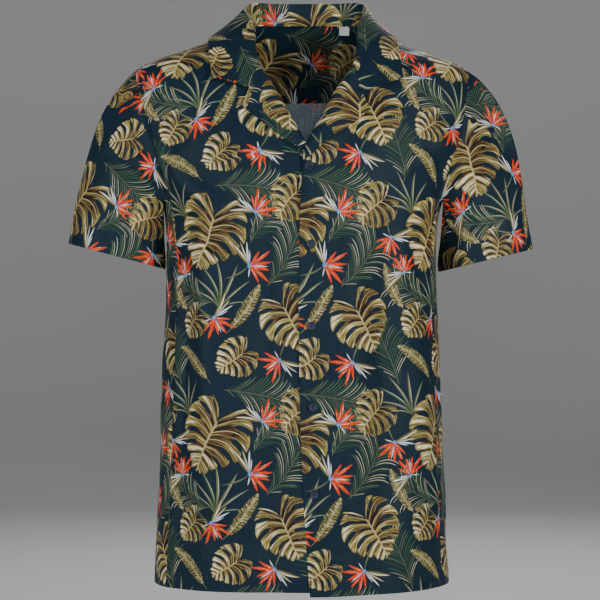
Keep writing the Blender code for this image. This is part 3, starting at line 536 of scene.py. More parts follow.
# Long torn leaf: an oval with notches and dark marks between its slanting veins.
def blade(under, x, y, seed):
    x = x - (seed - 0.5) * 0.7 * y * y
    side, a = x.above(0.0), abs(x)
    rung = (y - 0.75 * a) * 16.0 + seed * 9.0 + side * 0.5
    chance, other = random(rung, side, seed), random(rung, side + 7.0, seed)
    lobe = abs(rung.fraction() - 0.5) * 2.0
    oval = (1.0 - y * y * 4.0).clamp()
    edge = oval ** 0.55 * (0.142 - 0.020 * chance) * (1.0 - lobe * lobe * 0.22)
    within = a / (edge + 0.01)
    mark = (0.42 + 0.45 * other - lobe - 0.35 * within).ramp(0.0, 0.14)
    dark = mark * (within - 0.10 - 0.35 * chance).ramp(0.0, 0.10) * (0.98 - within).ramp(0.0, 0.10)
    pale = noise(x * 12.0, y * 34.0, seed)
    stalk = (0.009 - a).ramp(0.0, 0.006) * (-0.46 - y).ramp(0.0, 0.01) * (y + 0.62).ramp(0.0, 0.02)
    colour = paintAll(
        "olive",
        ("rib", (pale - 0.36).ramp(0.0, 0.3) * 0.6),
        ("straw", (pale - 0.60).ramp(0.0, 0.06) * 0.7),
        ("bark", dark * 0.94),
        ("rib", (0.012 - a).ramp(0.0, 0.008) * 0.8),
        ("sage", stalk),
    )
    return paint(under, colour, (edge - a).ramp(0.0, 0.010).most(stalk))


# one petal: a lens from the flower's heart, its turn in degrees from straight up
def petal(x, y, turn, length, width, bend):
    c, s = math.cos(math.radians(turn)), math.sin(math.radians(turn))
    along = (x * s + y * c) / length
    across = x * c - y * s - bend * along * along
    half = (along.clamp() * (1.0 - along).clamp()) ** 0.75 * width * 1.4
    return (half - abs(across)).ramp(0.0, 0.012), across / width, along


flowerBeak = (  # turn, length, width, bend
    (-92, 0.66, 0.10, -0.05),
    (-80, 0.58, 0.06, 0.02),
)
flowerPetals = (
    (88, 0.42, 0.070, 0.05),
    (66, 0.56, 0.090, 0.08),
    (-14, 0.40, 0.066, -0.05),
    (44, 0.46, 0.086, 0.02),
    (4, 0.58, 0.084, -0.05),
    (24, 0.50, 0.084, 0.01),
)
flowerDarts = (
    (34, 0.44, 0.034, 0.02),
    (-66, 0.54, 0.050, 0.04),
    (-50, 0.36, 0.036, -0.03),
    (122, 0.26, 0.036, 0.03),
)
flowerStem, flowerTongue = (170, 0.62, 0.050, 0.20), (15, 0.22, 0.04, 0.0)


# Crane-like flower: beak and stem behind, ragged orange petals, pale darts, blue heart.
def flower(under, x, y, seed):
    x, y = x - 0.02, y + 0.10
    ragged = (noise(x * 13.0, y * 13.0, seed * 5.0) - 0.5) * 0.030
    colour = paint(under, "sage", petal(x, y, *flowerStem)[0])
    for row in flowerBeak:
        mask, across, along = petal(x, y, *row)
        colour = paint(colour, paint("olive", "cream", (across + 0.05).ramp(0.0, 0.2) * 0.9), mask)
    for number, row in enumerate(flowerPetals):
        mask, across, along = petal(x + ragged, y - ragged, *row)
        pale = noise(across * 7.0, along * 2.5, seed * 3.0 + number) + (0.5 - along) * 0.20
        colour = paint(colour, paint("orange", "blush", pale.ramp(0.62, 0.68)), mask)
    for row in flowerDarts:
        mask, across, along = petal(x, y, *row)
        colour = paint(colour, paint("sky", "white", along.ramp(0.15, 0.5)), mask)
    heart = (0.055 - (x * x + y * y) ** 0.5).ramp(0.0, 0.03)
    return paintAll(colour, ("sky", heart * 0.9), ("violet", petal(x, y, *flowerTongue)[0] * 0.8))


# ---- print

printing = dict(
    repeat=(0.205, 0.262),
    layers={  # painted one over the other; each motif: x, y, turn clockwise from up, size, seed
        "frondsLow": (frond, (
            (0.150, 0.150, 40, 0.076, 0.20),
            (0.022, 0.118, -65, 0.072, 0.75),
            (0.108, 0.246, 100, 0.078, 0.60),
            (0.190, 0.036, -20, 0.080, 0.35),
        )),
        "sprays": (spray, (
            (0.068, 0.124, 10, 0.066, 0.35),
            (0.006, 0.246, -20, 0.062, 0.55),
        )),
        "fronds": (frond, (
            (0.128, 0.196, 45, 0.058, 0.80),
        )),
        "blades": (blade, (
            (0.098, 0.094, 35, 0.066, 0.30),
            (0.196, 0.124, -25, 0.062, 0.70),
            (0.026, 0.030, -50, 0.066, 0.15),
        )),
        "monsteras": (monstera, (
            (0.056, 0.196, 205, 0.100, 0.31),
            (0.152, 0.080, 150, 0.082, 0.72),
            (0.026, 0.080, 225, 0.050, 0.55),
            (0.168, 0.224, 230, 0.062, 0.13),
            (0.084, 0.032, 235, 0.054, 0.84),
        )),
        "flowers": (flower, (
            (0.108, 0.150, 60, 0.058, 0.20),
            (0.004, 0.146, -40, 0.054, 0.60),
            (0.196, 0.182, 160, 0.054, 0.35),
            (0.118, 0.218, 15, 0.054, 0.80),
            (0.062, 0.082, 120, 0.052, 0.50),
            (0.138, 0.022, 200, 0.054, 0.10),
        )),
    },
    fronts={-1: (0.0, 0.0), 1: (0.068, 0.0)}, back=(0.05, 0.03), yoke=(0.11, 0.17),
    innerYoke=(0.10, 0.155), sleeves={-1: (0.03, 0.14), 1: (0.12, 0.05)}, collar=(0.07, 0.21),
    reverses={-1: (0.16, 0.02), 1: (0.10, 0.12)},
    reach=0.76, margin=0.008,  # how far from its middle a motif reaches, in sizes and in metres
    far=9.0,  # stands for no motif near
)
motifs = tuple(printing["layers"])


# each face takes a layer's nearest motif, repeats included; its corners get their places in that
def motifPlaces(corners, layer):
    repeat = printing["repeat"]
    centres = corners.mean(axis=1, keepdims=True)
    best = np.full(len(corners), printing["far"])
    places = np.full((len(corners), 4, 3), printing["far"])
    for x, y, turn, size, seed in printing["layers"][layer][1]:
        middle = np.array((x, y)) + np.round((centres - (x, y)) / repeat) * repeat
        near = (np.linalg.norm(centres - middle, axis=2)[:, 0] - printing["margin"]) / size
        angle = math.radians(turn)
        across, up = (math.cos(angle), -math.sin(angle)), (math.sin(angle), math.cos(angle))
        local = np.stack([(corners - middle) @ across / size, (corners - middle) @ up / size,
                          np.full(corners.shape[:2], seed)], axis=2)
        closer = (near < best) & (near < printing["reach"])
        best[closer] = near[closer]
        places[closer] = local[closer]
    return places.reshape(-1, 3)


weave = dict(
    slubAcross=0.0011, slubAlong=0.030, light=0.8, shade=0.50, thread=0.00072,
    bump=0.35, bumpHeight=0.00025, slubHeight=1.5, threadHeight=0.35, roughness=0.50, specular=0.14,
    # the wrong side's colour: its own paler cloth, made lighter still as painted light for the
    # shade it lies in inside the shirt
    wrongSidePaleAndPaintedLight=(0.430, 0.550, 0.640, 1.0), reverse=0.67, reverseSlub=0.2,
)


# Cotton with uneven threads both ways. The print lies on it; on the wrong side it shows through.
def clothMaterial(name, wrongSide=False):
    def vary(start):
        flat = start.node("ShaderNodeUVMap", dict(uv_map="cloth"), {})
        x, y = flat.parts(2)
        thin, thick = 1 / weave["slubAcross"], 1 / weave["slubAlong"]
        slub = noise(x * thin, y * thick, 0.0) + noise(x * thick, y * thin, 4.0) - 1.0
        colour = paint("ground", "groundLight", (slub * weave["light"] + 0.5).clamp())
        for layer in motifs:
            place = start.node("ShaderNodeAttribute", dict(attribute_name=layer), {}, "Vector")
            colour = printing["layers"][layer][0](colour, *place.parts())
        # wrong side: its own paler cloth over the print, brightened further as painted light where
        # it lies in shade inside the shirt
        if wrongSide:
            faded = slub * weave["reverseSlub"] + weave["reverse"]
            colour = paint(colour, weave["wrongSidePaleAndPaintedLight"], faded)
        shaded = start.node("ShaderNodeVectorMath", dict(operation="SCALE"),
                            {0: colour, 3: slub * weave["shade"] + 1.0})
        pitch = 2 * math.pi / weave["thread"]
        threads = (x * pitch).sine() * (y * pitch).sine()
        height = slub * weave["slubHeight"] + threads * weave["threadHeight"]
        return {"Base Color": shaded, "Normal": height.bump(weave["bump"], weave["bumpHeight"])}

    fixed = {"Roughness": weave["roughness"], "Specular IOR Level": weave["specular"]}
    return newMaterial(name, fixed, vary)


outside, inside = clothMaterial("printed cotton"), clothMaterial("wrong side", wrongSide=True)
clothPair, insidePair = (outside, inside), (inside, outside)
print("materials made")


# ---- folds and seams as relief

crease = dict(steps=20, shoulder=0.30, shoulderWidth=2.3, ends=(0.03, 0.97), fade=0.8)


# A fold is a bar bent through three places, from its first end to its last. It stands out by its
# depth (or sinks, below 0) with a soft shoulder of the other sign on both sides.
def foldRelief(points, folds):
    steps, shoulder = crease["steps"], crease["shoulder"]
    total = np.zeros(points.shape[:-1])
    t = np.linspace(0, 1, steps + 1)[:, None]
    for start, bend, end, depth, width in folds:
        path = bent(start, bend, end, t)
        near, place = np.full(total.shape, np.inf), np.zeros(total.shape)
        for k in range(steps):
            step = path[k + 1] - path[k]
            f = np.clip((points - path[k]) @ step / (step @ step), 0, 1)
            away = np.linalg.norm(points - path[k] - f[..., None] * step, axis=-1)
            closer = away < near
            near, place = np.where(closer, away, near), np.where(closer, (k + f) / steps, place)
        fade = np.sin(np.pi * np.clip(place, *crease["ends"])) ** crease["fade"]
        profile = np.exp(-(near / width) ** 2)
        profile -= shoulder * np.exp(-(near / (crease["shoulderWidth"] * width)) ** 2)
        total += depth * fade * profile / (1 - shoulder)
    return total


# folds given by turns and heights on the body
def bodyFolds(rows):
    return [(onForm(a, b), onForm(c, d), onForm(e, f), depth, width)
            for a, b, c, d, e, f, depth, width in rows]


# uneven slack of the cloth: a few crossed waves of different lengths over the flat cloth
slack = dict(
    height=0.00050, seed=5, waves=9, shortest=0.028, longest=0.110, lean=0.6,
    full=0.03,  # how far from a seam it is in full
)


def slackRelief(flat, shift):
    draw = np.random.default_rng(slack["seed"] + shift)
    total = np.zeros(flat.shape[:-1])
    for _ in range(slack["waves"]):
        angle, phase = draw.uniform(0, np.pi), draw.uniform(0, 2 * np.pi)
        length = draw.uniform(slack["shortest"], slack["longest"])
        across = flat[..., 0] * np.cos(angle) + flat[..., 1] * np.sin(angle) * slack["lean"]
        total += np.sin(across * 2 * np.pi / length + phase) * length / slack["longest"]
    return total * slack["height"]


seams = dict(
    sink=0.0007, width=0.0016, pucker=0.00022, puckerLength=0.0095, puckerReach=0.007,
    wobble=2.0, wobbleRate=37.0,
    foldsFull=0.022,  # how far from a seam folds are in full
)


# a sewn edge sinks into its seam, and the cloth beside it ripples a little along it
def seamRelief(away, *sides):
    total = 0
    for side in sides:
        distance, along = away[side], away["bottom" if side in ("left", "right") else "left"]
        wobble = seams["wobble"] * np.sin(along * seams["wobbleRate"])
        wave = np.sin(along * 2 * np.pi / seams["puckerLength"] + wobble)
        total = total + seams["pucker"] * wave * np.exp(-distance / seams["puckerReach"])
        total = total - seams["sink"] * np.exp(-(distance / seams["width"]) ** 2)
    return total


hems = dict(double=0.0005, stitch=0.00040, groove=0.0011, below=0.001, above=0.0015)
leafHem = 0.6  # share of it at the edges of the collar and the reverses


# a turned-up edge: doubled cloth below the stitch line, which is drawn in
def hemRelief(distance, depth):
    doubled = hems["double"] * (1 - ramp(distance, depth - hems["below"], depth + hems["above"]))
    return doubled - hems["stitch"] * np.exp(-((distance - depth) / hems["groove"]) ** 2)


# lengths along a grid's rows and columns, from each of its four borders
def borderDistances(points):
    across, up = runs(points, 1), runs(points)
    return dict(left=across, right=across[:, -1:] - across, bottom=up, top=up[-1:] - up)


# ---- shells

cloth = dict(thickness=0.0008, leafThickness=0.0014, gap=0.00015, swell=0.42)


def addMesh(name, points, faces, materials, slots=None, sharp=50):
    mesh = bpy.data.meshes.new(name)
    mesh.from_pydata(points, [], faces)
    mesh.shade_smooth()
    mesh.set_sharp_from_angle(angle=math.radians(sharp))
    for material in materials:
        mesh.materials.append(material)
    if slots is not None:
        mesh.polygons.foreach_set("material_index", np.asarray(slots, np.int32))
    return addObject(name, mesh)


# six times the volume inside four-sided faces, below 0 where they face inwards
def volume(points, faces):
    a, b, c, d = (points[faces[:, k]] for k in range(4))
    return np.einsum("ij,ij->i", a, np.cross(b, c) + np.cross(c, d)).sum()


# Closed thin shell between a grid and the same grid moved in by the thickness. Edges named in
# `rounded` swell by part of the thickness. `flat` is the cloth's own plane; a closed grid's flat
# grid has one more column, on the far side of the cut. The rim takes one of the two materials.
def addShell(name, outer, normals, flat, materials, thickness=cloth["thickness"], closed=False,
             rounded=(), rimSlot=0):
    rows, columns = outer.shape[:2]
    index = np.arange(rows * columns).reshape(rows, columns)
    place = np.arange(flat[..., 0].size).reshape(flat.shape[:2])
    if closed:
        index = wrapped(index)
    shift = rows * columns
    faces = [quads(index), quads(index)[:, ::-1] + shift]
    places = [quads(place), quads(place)[:, ::-1]]
    slots = [np.zeros(len(faces[0])), np.ones(len(faces[0]))]
    points = [outer.reshape(-1, 3), (outer - normals * thickness).reshape(-1, 3)]
    count = 2 * shift
    for side in ("bottom", "top") if closed else ("bottom", "top", "left", "right"):
        edge = sideOf(outer, side)
        centre = edge - sideOf(normals, side) * thickness / 2
        if side in rounded:
            centre = centre + unit(edge - sideOf(outer, side, 1)) * thickness * cloth["swell"]
        rim, rimPlace = sideOf(index, side), sideOf(place, side)
        line = count + np.arange(len(centre))
        points.append(centre)
        count += len(centre)
        if closed:
            line = wrapped(line)
        if side in ("bottom", "right"):
            rim, rimPlace, line = rim[::-1], rimPlace[::-1], line[::-1]
        for first, second in ((rim, line), (line, rim + shift)):
            faces.append(quads(np.stack([second, first])))
            places.append(quads(np.stack([rimPlace, rimPlace])))
            slots.append(np.full(len(faces[-1]), rimSlot))
    points, faces, places = np.concatenate(points), np.concatenate(faces), np.concatenate(places)
    if volume(points, faces) < 0:
        faces, places = faces[:, ::-1], places[:, ::-1]
    slots = np.concatenate(slots) if len(materials) > 1 else None
    piece = addMesh(name, points, faces, materials, slots)
    corners = flat.reshape(-1, 2)[places]
    flatLayer = piece.data.uv_layers.new(name="cloth")
    flatLayer.data.foreach_set("uv", corners.astype(np.float32).ravel())
    for layer in motifs:
        attribute = piece.data.attributes.new(layer, "FLOAT_VECTOR", "CORNER")
        attribute.data.foreach_set("vector", motifPlaces(corners, layer).astype(np.float32).ravel())
    return dict(piece=piece, points=outer, normals=normals)


# ---- fronts, back and yoke

panel = dict(
    hem=-0.717, leftDrop=0.005, dropFrom=-0.600, hemDepth=0.020,
    sideTurn=65.5, underarmTurn=69.0, turnFrom=0.75, underarm=-0.222,
    underlap=0.015, overlapLift=0.0030, liftRun=0.012, liftWidth=0.030, liftFrom=(0.10, 0.15),
    edgeRoll=0.0005, rollWidth=0.004, rollFrom=(0.16, 0.19), foldsFrom=(0.075, 0.13),
    shoulderTurn=79.0, shoulderTip=-0.0475, neckPoint=0.0835,
    yokeSeam=-0.076, yokeSeamSide=-0.086, yokeBow=0.8, neckBack=0.021, neckBow=0.75,
    lowRows=110, highRows=72, frontColumns=72, backColumns=132, yokeRows=24, slackShift=3,
    seamSearch=(-0.02, 0.03, 101),
)
buttonPlaces = (  # height, x
    (-0.1790, 0.0095),
    (-0.2775, 0.0120),
    (-0.3808, 0.0127),
    (-0.4830, 0.0145),
    (-0.5928, 0.0158),
)
leftEdge = (  # height, x of the left front's edge, which shows down the middle
    (-0.722, 0.0107),
    (-0.638, 0.0044),
    (-0.575, 0.0013),
    (-0.474, -0.0020),
    (-0.285, -0.0032),
    (-0.220, -0.0010),
    (-0.158, 0.0030),
)
neckRows = 13.0  # the neckline's rows, from the underarm's height to the shoulder
neckline = (  # row, x from the neck's middle, height: the roll line, then the collar seam
    (3.0, -0.0030, -0.1580),
    (5.0, 0.0160, -0.1230),
    (6.0, 0.0255, -0.1060),
    (7.0, 0.0365, -0.0840),
    (8.0, 0.0480, -0.0665),
    (9.0, 0.0605, -0.0460),
    (10.0, 0.0720, -0.0270),
    (11.0, 0.0780, -0.0130),
    (12.0, 0.0815, -0.0020),
)
armholeFront = (  # part of the way up, turn, height
    (0.00, 69.0, -0.222),
    (0.05, 67.1, -0.215),
    (0.12, 65.9, -0.203),
    (0.27, 64.2, -0.174),
    (0.44, 64.2, -0.142),
    (0.59, 65.8, -0.115),
    (0.75, 69.6, -0.085),
    (0.88, 74.5, -0.062),
    (1.00, 79.0, -0.0475),
)
armholeBack = (
    (0.00, 69.0, -0.222),
    (0.18, 81.0, -0.215),
    (0.40, 94.0, -0.197),
    (0.60, 104.0, -0.168),
    (0.80, 109.0, -0.128),
    (1.00, 108.0, -0.086),
)
armholeYoke = (
    (0.00, 108.0, -0.086),
    (0.35, 100.5, -0.0640),
    (0.70, 90.0, -0.0480),
    (1.00, 79.0, -0.0475),
)
frontFolds = (  # turn and height of one end, the bend and the other end, depth, width
    (-66, -0.232, -62, -0.31, -60, -0.400, -0.0050, 0.010),
    (-72, -0.300, -71, -0.45, -70, -0.600, -0.0024, 0.014),
    (70, -0.235, 68, -0.29, 66, -0.350, -0.0034, 0.009),
    (78, -0.320, 77, -0.47, 76, -0.620, -0.0026, 0.014),
    (62, -0.185, 56, -0.160, 44, -0.150, -0.0032, 0.010),
    (-62, -0.192, -54, -0.150, -38, -0.128, -0.0038, 0.011),
    (-38, -0.030, -31, -0.38, -33, -0.740, 0.0110, 0.025),
    (-7, -0.150, -10, -0.40, -7, -0.760, -0.0120, 0.025),
    (14, -0.130, 13, -0.40, 13, -0.740, 0.0085, 0.025),
    (31, -0.180, 30, -0.40, 28, -0.740, -0.0056, 0.019),
    (-52, -0.250, -54, -0.42, -52, -0.600, -0.0040, 0.016),
    (54, -0.330, 53, -0.50, 54, -0.700, 0.0034, 0.020),
    (-72, -0.590, -45, -0.640, -12, -0.660, -0.0060, 0.028),
    (74, -0.560, 50, -0.600, 22, -0.590, -0.0044, 0.030),
    (-58, -0.160, -44, -0.225, -26, -0.235, 0.0070, 0.019),
    (-62, -0.250, -42, -0.285, -20, -0.270, -0.0050, 0.014),
    (60, -0.130, 46, -0.185, 30, -0.175, 0.0042, 0.015),
    (16, -0.640, 2, -0.690, -14, -0.650, -0.0040, 0.020),
)
backFolds = (
    (118, -0.230, 126, -0.320, 132, -0.420, -0.0050, 0.013),
    (242, -0.230, 234, -0.320, 228, -0.430, -0.0050, 0.013),
    (150, -0.330, 154, -0.48, 156, -0.640, 0.0035, 0.020),
    (208, -0.350, 205, -0.49, 203, -0.650, 0.0035, 0.020),
    (120, -0.470, 180, -0.445, 240, -0.455, -0.0028, 0.022),
    (168, -0.120, 170, -0.24, 166, -0.400, 0.0018, 0.014),
    (194, -0.125, 191, -0.26, 195, -0.420, 0.0018, 0.014),
    (100, -0.300, 98, -0.45, 100, -0.620, -0.0030, 0.013),
    (262, -0.300, 264, -0.45, 261, -0.620, -0.0030, 0.013),
    (135, -0.520, 138, -0.60, 136, -0.700, 0.0022, 0.014),
    (224, -0.520, 221, -0.61, 223, -0.705, 0.0022, 0.014),
)


highParts = np.linspace(0, 1, panel["highRows"] + 1)[1:]


def ruled(start, end, columns):
    f = np.linspace(0, 1, columns)[None, :]
    return [a[:, None] * (1 - f) + b[:, None] * f for a, b in zip(start, end)]


# x of a front's edge below the neckline; the right one runs on under the left, past the buttons
def frontEdgeX(side, height):
    if side > 0:
        return read(leftEdge, height)[0]
    heights, places = np.array(buttonPlaces[::-1]).T
    return np.interp(height, heights, places) + panel["underlap"]


# turns and heights of a half's outer edge: its side seam, then its part of the armhole
def outerEdge(side, armhole):
    f = np.linspace(0, 1, panel["lowRows"] + 1)
    heights = panel["hem"] + (panel["underarm"] - panel["hem"]) * f
    change = ramp(f, panel["turnFrom"], 1.0)
    turns = panel["sideTurn"] + (panel["underarmTurn"] - panel["sideTurn"]) * change
    armTurns, armHeights = read(armhole, highParts)
    turns, heights = np.append(turns, armTurns), np.append(heights, armHeights)
    return setTurn(side, turns, heights), heights


# height at which the form is as wide as the neck point, on the line of the shoulder
def seamHeight(side):
    heights = np.linspace(*panel["seamSearch"])
    places = onForm(side * panel["shoulderTurn"] + 0 * heights, heights)
    return np.interp(-panel["neckPoint"], -np.abs(places[:, 0] - form["neckX"]), heights)


def necklineAt(side, rows):
    table = neckline + ((neckRows, panel["neckPoint"], seamHeight(side)),)
    return read(table, rows)


# a front's inner edge (front edge, then neckline) and outer edge (side seam, then armhole)
def frontEdges(side):
    outer = outerEdge(side, armholeFront)
    low = outer[1][:panel["lowRows"] + 1]
    drop = panel["leftDrop"] * (side > 0)
    low = low - drop * ramp(-low, -panel["dropFrom"], -panel["hem"])
    rows = highParts * neckRows
    neckX, neckHeight = necklineAt(side, rows)
    foot, footHeight = neckline[0][0], neckline[0][2]
    plain = rows < foot
    neckHeight[plain] = low[-1] + (footHeight - low[-1]) * rows[plain] / foot
    heights = np.concatenate([low, neckHeight])
    x = form["neckX"] + side * np.concatenate([0 * low, neckX])
    plain = np.concatenate([low < 1, plain])
    x[plain] = frontEdgeX(side, heights)[plain]
    turns = frontTurn(x, heights)
    turns[-1], heights[-1] = side * panel["shoulderTurn"], seamHeight(side)
    return (turns, heights), outer


# the left front stands out a little over the right one, next to its own edge
def frontLift(side, turn, height):
    if side < 0:
        return 0 * turn
    fromEdge = onForm(turn, height)[..., 0] - frontEdgeX(1, height)
    run = panel["underlap"] + panel["liftRun"]
    over = 1 - ramp(fromEdge, run, run + panel["liftWidth"])
    return panel["overlapLift"] * over * ramp(-height, *panel["liftFrom"])


def onFront(x, height, lift):
    turn = frontTurn(x, height)
    return onForm(turn, height) + formNormal(turn, height) * np.reshape(lift, np.shape(x) + (1,))


# moves a grid's borders half a gap in, so that neighbours don't touch
def drawIn(points, sides):
    points = points.copy()
    for side in sides:
        edge = sideOf(points, side)
        edge += unit(sideOf(points, side, 1) - edge) * cloth["gap"]
    return points


def buildFront(name, side):
    turn, height = ruled(*frontEdges(side), panel["frontColumns"] + 1)
    base, normals = onForm(turn, height), formNormal(turn, height)
    flat = flattenFine(base, (0, 0), (panel["lowRows"], 0))
    away = borderDistances(base)
    seamAway = np.minimum(away["right"], away["top"])
    calm = ramp(seamAway, 0.0, seams["foldsFull"]) * ramp(-height, *panel["foldsFrom"])
    relief = foldRelief(base, bodyFolds(frontFolds)) * calm
    relief += slackRelief(flat, side) * ramp(seamAway, 0.0, slack["full"])
    relief += seamRelief(away, "right", "top") + hemRelief(away["bottom"], panel["hemDepth"])
    relief += frontLift(side, turn, height)
    roll = panel["edgeRoll"] * (ramp(away["left"], 0.0, panel["rollWidth"]) - 1)
    relief += roll * ramp(-height, *panel["rollFrom"])
    points = drawIn(base + normals * relief[..., None], ("left", "right", "top"))
    laid = flat * (side, 1) + printing["fronts"][side]
    shell = addShell(name, points, side * gridNormals(points), laid, clothPair,
                     rounded=("left", "bottom"))
    return dict(shell, away=away, flat=flat)


def buildBack(name):
    left, (turns, heights) = (outerEdge(side, armholeBack) for side in (1, -1))
    turn, height = ruled(left, (turns + 360, heights), panel["backColumns"] + 1)
    f = np.linspace(0, 1, panel["backColumns"] + 1)[None, :]
    rise = ramp(height, panel["underarm"], panel["yokeSeamSide"])
    bow = np.sin(np.pi * f) ** panel["yokeBow"]
    height = height + (panel["yokeSeam"] - panel["yokeSeamSide"]) * rise * bow
    base, normals = onForm(turn, height), formNormal(turn, height)
    centre = panel["backColumns"] // 2
    flat = flattenFine(base, (0, centre), (panel["lowRows"], centre))
    away = borderDistances(base)
    sideAway = np.minimum(np.minimum(away["left"], away["right"]), away["top"])
    relief = foldRelief(base, bodyFolds(backFolds)) * ramp(sideAway, 0.0, seams["foldsFull"])
    relief += slackRelief(flat, panel["slackShift"]) * ramp(sideAway, 0.0, slack["full"])
    relief += seamRelief(away, "left", "right", "top")
    relief += hemRelief(away["bottom"], panel["hemDepth"])
    points = drawIn(base + normals * relief[..., None], ("left", "right", "top"))
    shell = addShell(name, points, gridNormals(points), flat + printing["back"], clothPair,
                     rounded=("bottom",))
    return dict(shell, away=away, flat=flat, turn=turn[-1], height=height[-1])


yokeSteps = 29
shoulderSteps = 8
shoulderPart = shoulderSteps / yokeSteps  # share of the yoke's width that each shoulder takes
lining = dict(depth=0.0018, thickness=0.0009, past=0.002, pastTop=0.0018)  # the inner yoke


# turn and height of the yoke's upper edge: shoulder seam, back neck, shoulder seam
def yokeTop(part):
    tip, neck = panel["shoulderTip"], panel["neckBack"]
    g = np.clip((part - shoulderPart) / (1 - 2 * shoulderPart), 0, 1)
    f = np.clip(np.minimum(part, 1 - part) / shoulderPart, 0, 1)
    ends = seamHeight(1), seamHeight(-1)
    sides = tip + (np.where(part < 0.5, *ends) - tip) * f
    atNeck = (g > 0) & (g < 1)
    sides[atNeck] = (ends[0] * (1 - g) + ends[1] * g)[atNeck]
    height = sides + np.where(atNeck, (neck - sides) * np.sin(np.pi * g) ** panel["neckBow"], 0)
    return panel["shoulderTurn"] + (360 - 2 * panel["shoulderTurn"]) * g, height


def buildYoke(name, innerName, back):
    part = np.linspace(0, 1, panel["backColumns"] + 1)
    f = np.linspace(0, 1, panel["yokeRows"] + 1)
    turn, height = (grid.T for grid in ruled((back["turn"], back["height"]), yokeTop(part), len(f)))
    sideTurn, sideHeight = read(armholeYoke, f)
    near = 1 - ramp(part, 0, shoulderPart)
    for side, weight in ((1, near), (-1, near[::-1])):
        edge = 0 if side > 0 else -1
        place = setTurn(side, sideTurn, sideHeight) + 360 * (side < 0)
        turn = turn + (place - turn[:, edge])[:, None] * weight
        height = height + (sideHeight - height[:, edge])[:, None] * weight
    base, normals = onForm(turn, height), formNormal(turn, height)
    centre = panel["backColumns"] // 2
    flat = flattenFine(base, (0, centre), (panel["yokeRows"], centre), step=4)
    away = borderDistances(base)
    shoulder = np.minimum(part, 1 - part) < shoulderPart
    relief = seamRelief(away, "bottom", "left", "right") + seamRelief(away, "top") * shoulder
    points = drawIn(base + normals * relief[..., None], ("left", "right", "bottom", "top"))
    outer = addShell(name, points, normals, flat + printing["yoke"], clothPair)
    points = drawIn(base, ("left", "right", "top")) - normals * lining["depth"]
    points[0] += unit(points[0] - points[1]) * lining["past"]
    points[-1] += unit(points[-1] - points[-2]) * lining["pastTop"]
    inner = addShell(innerName, points, normals, flat * (-1, 1) + printing["innerYoke"], insidePair,
                     thickness=lining["thickness"], rounded=("bottom",), rimSlot=1)
    return (dict(outer, away=away, flat=flat),
            dict(inner, flat=flat, under=points - normals * lining["thickness"]))


# ---- sleeves

sleeve = dict(
    loopSteps=(14, 6, 12), rows=13, crowding=1.15, rowTimes=6, columnTimes=4, slackShift=5,
    # the armhole's outward lean, and how the cloth leaves it below: outwards, to the side, down
    leanFrom=0.10, lean=0.06, leanTop=0.13,
    hangOut=0.75, hangOutTop=0.2, hangAside=0.25, hangDown=0.7,
    softening=4, softFull=0.10, softTo=(0.6, 0.95), headEnd=0.12, ownFull=0.10,
    cuffHalfDepth=0.060, cuffLean=9.0, footPull=0.34, cuffPull=0.80,
    clear=0.0035, clearFrom=(0.10, 0.20), clearLeast=0.8, hemDepth=0.020,
    cuffs={  # middle of the cuff, half its width, its rise outwards, pull at the sleeve's head
        -1: (0.2442, -0.2900, 0.0658, 14.8, 0.81),
        1: (0.2435, -0.2955, 0.0624, 13.6, 1.00),
    },
    folds={  # turn round the sleeve (0 on top, 90 in front) and part of its length, three times
        -1: (
            (48, 0.44, 100, 0.43, 162, 0.12, -0.0060, 0.0070),
            (60, 0.31, 98, 0.29, 130, 0.16, 0.0030, 0.0100),
            (64, 0.56, 104, 0.52, 140, 0.40, 0.0022, 0.0120),
            (322, 0.42, 280, 0.34, 220, 0.16, -0.0052, 0.0080),
            (300, 0.30, 275, 0.20, 245, 0.12, 0.0028, 0.0120),
            (150, 0.35, 146, 0.60, 140, 0.85, -0.0034, 0.0110),
            (210, 0.35, 216, 0.60, 222, 0.80, -0.0034, 0.0110),
            (76, 0.60, 84, 0.75, 80, 0.95, -0.0022, 0.0110),
            (24, 0.50, 30, 0.70, 24, 0.95, 0.0018, 0.0130),
            (330, 0.50, 322, 0.72, 328, 0.95, 0.0018, 0.0130),
        ),
        1: (
            (26, 0.36, 92, 0.31, 158, 0.06, -0.0068, 0.0065),
            (42, 0.25, 88, 0.21, 122, 0.09, 0.0034, 0.0090),
            (60, 0.44, 96, 0.40, 138, 0.24, 0.0024, 0.0120),
            (325, 0.40, 278, 0.31, 216, 0.14, -0.0052, 0.0080),
            (302, 0.28, 275, 0.19, 244, 0.11, 0.0028, 0.0120),
            (150, 0.35, 144, 0.60, 138, 0.85, -0.0034, 0.0110),
            (212, 0.35, 218, 0.60, 224, 0.80, -0.0034, 0.0110),
            (70, 0.58, 82, 0.74, 78, 0.95, -0.0020, 0.0110),
            (18, 0.50, 26, 0.70, 22, 0.95, 0.0018, 0.0130),
            (332, 0.50, 324, 0.72, 330, 0.95, 0.0018, 0.0130),
        ),
    },
)


# armhole as a loop of form points: from its foot up the front, over the yoke, down the back
def armholeLoop(side):
    def place(table, count):
        turns, heights = read(table, np.linspace(0, 1, count))
        return onForm(setTurn(side, turns, heights), heights)

    up, over, down = map(place, (armholeFront, armholeYoke, armholeBack), sleeve["loopSteps"])
    return np.concatenate([up, over[::-1][1:], down[::-1][1:-1]])


# degrees round the sleeve for each loop point: 180 at the foot, 0 at the top, 270 behind
def sleeveTurns(loop):
    run = runs(np.concatenate([loop, loop[:1]]))
    top = np.argmax(loop[:, 2])
    return np.interp(run[:-1], [0, run[top], run[-1]], [180, 0, -180]) % 360


def ringLength(points):
    return np.linalg.norm(np.roll(points, -1, axis=1) - points, axis=2).sum(axis=1)[:, None, None]


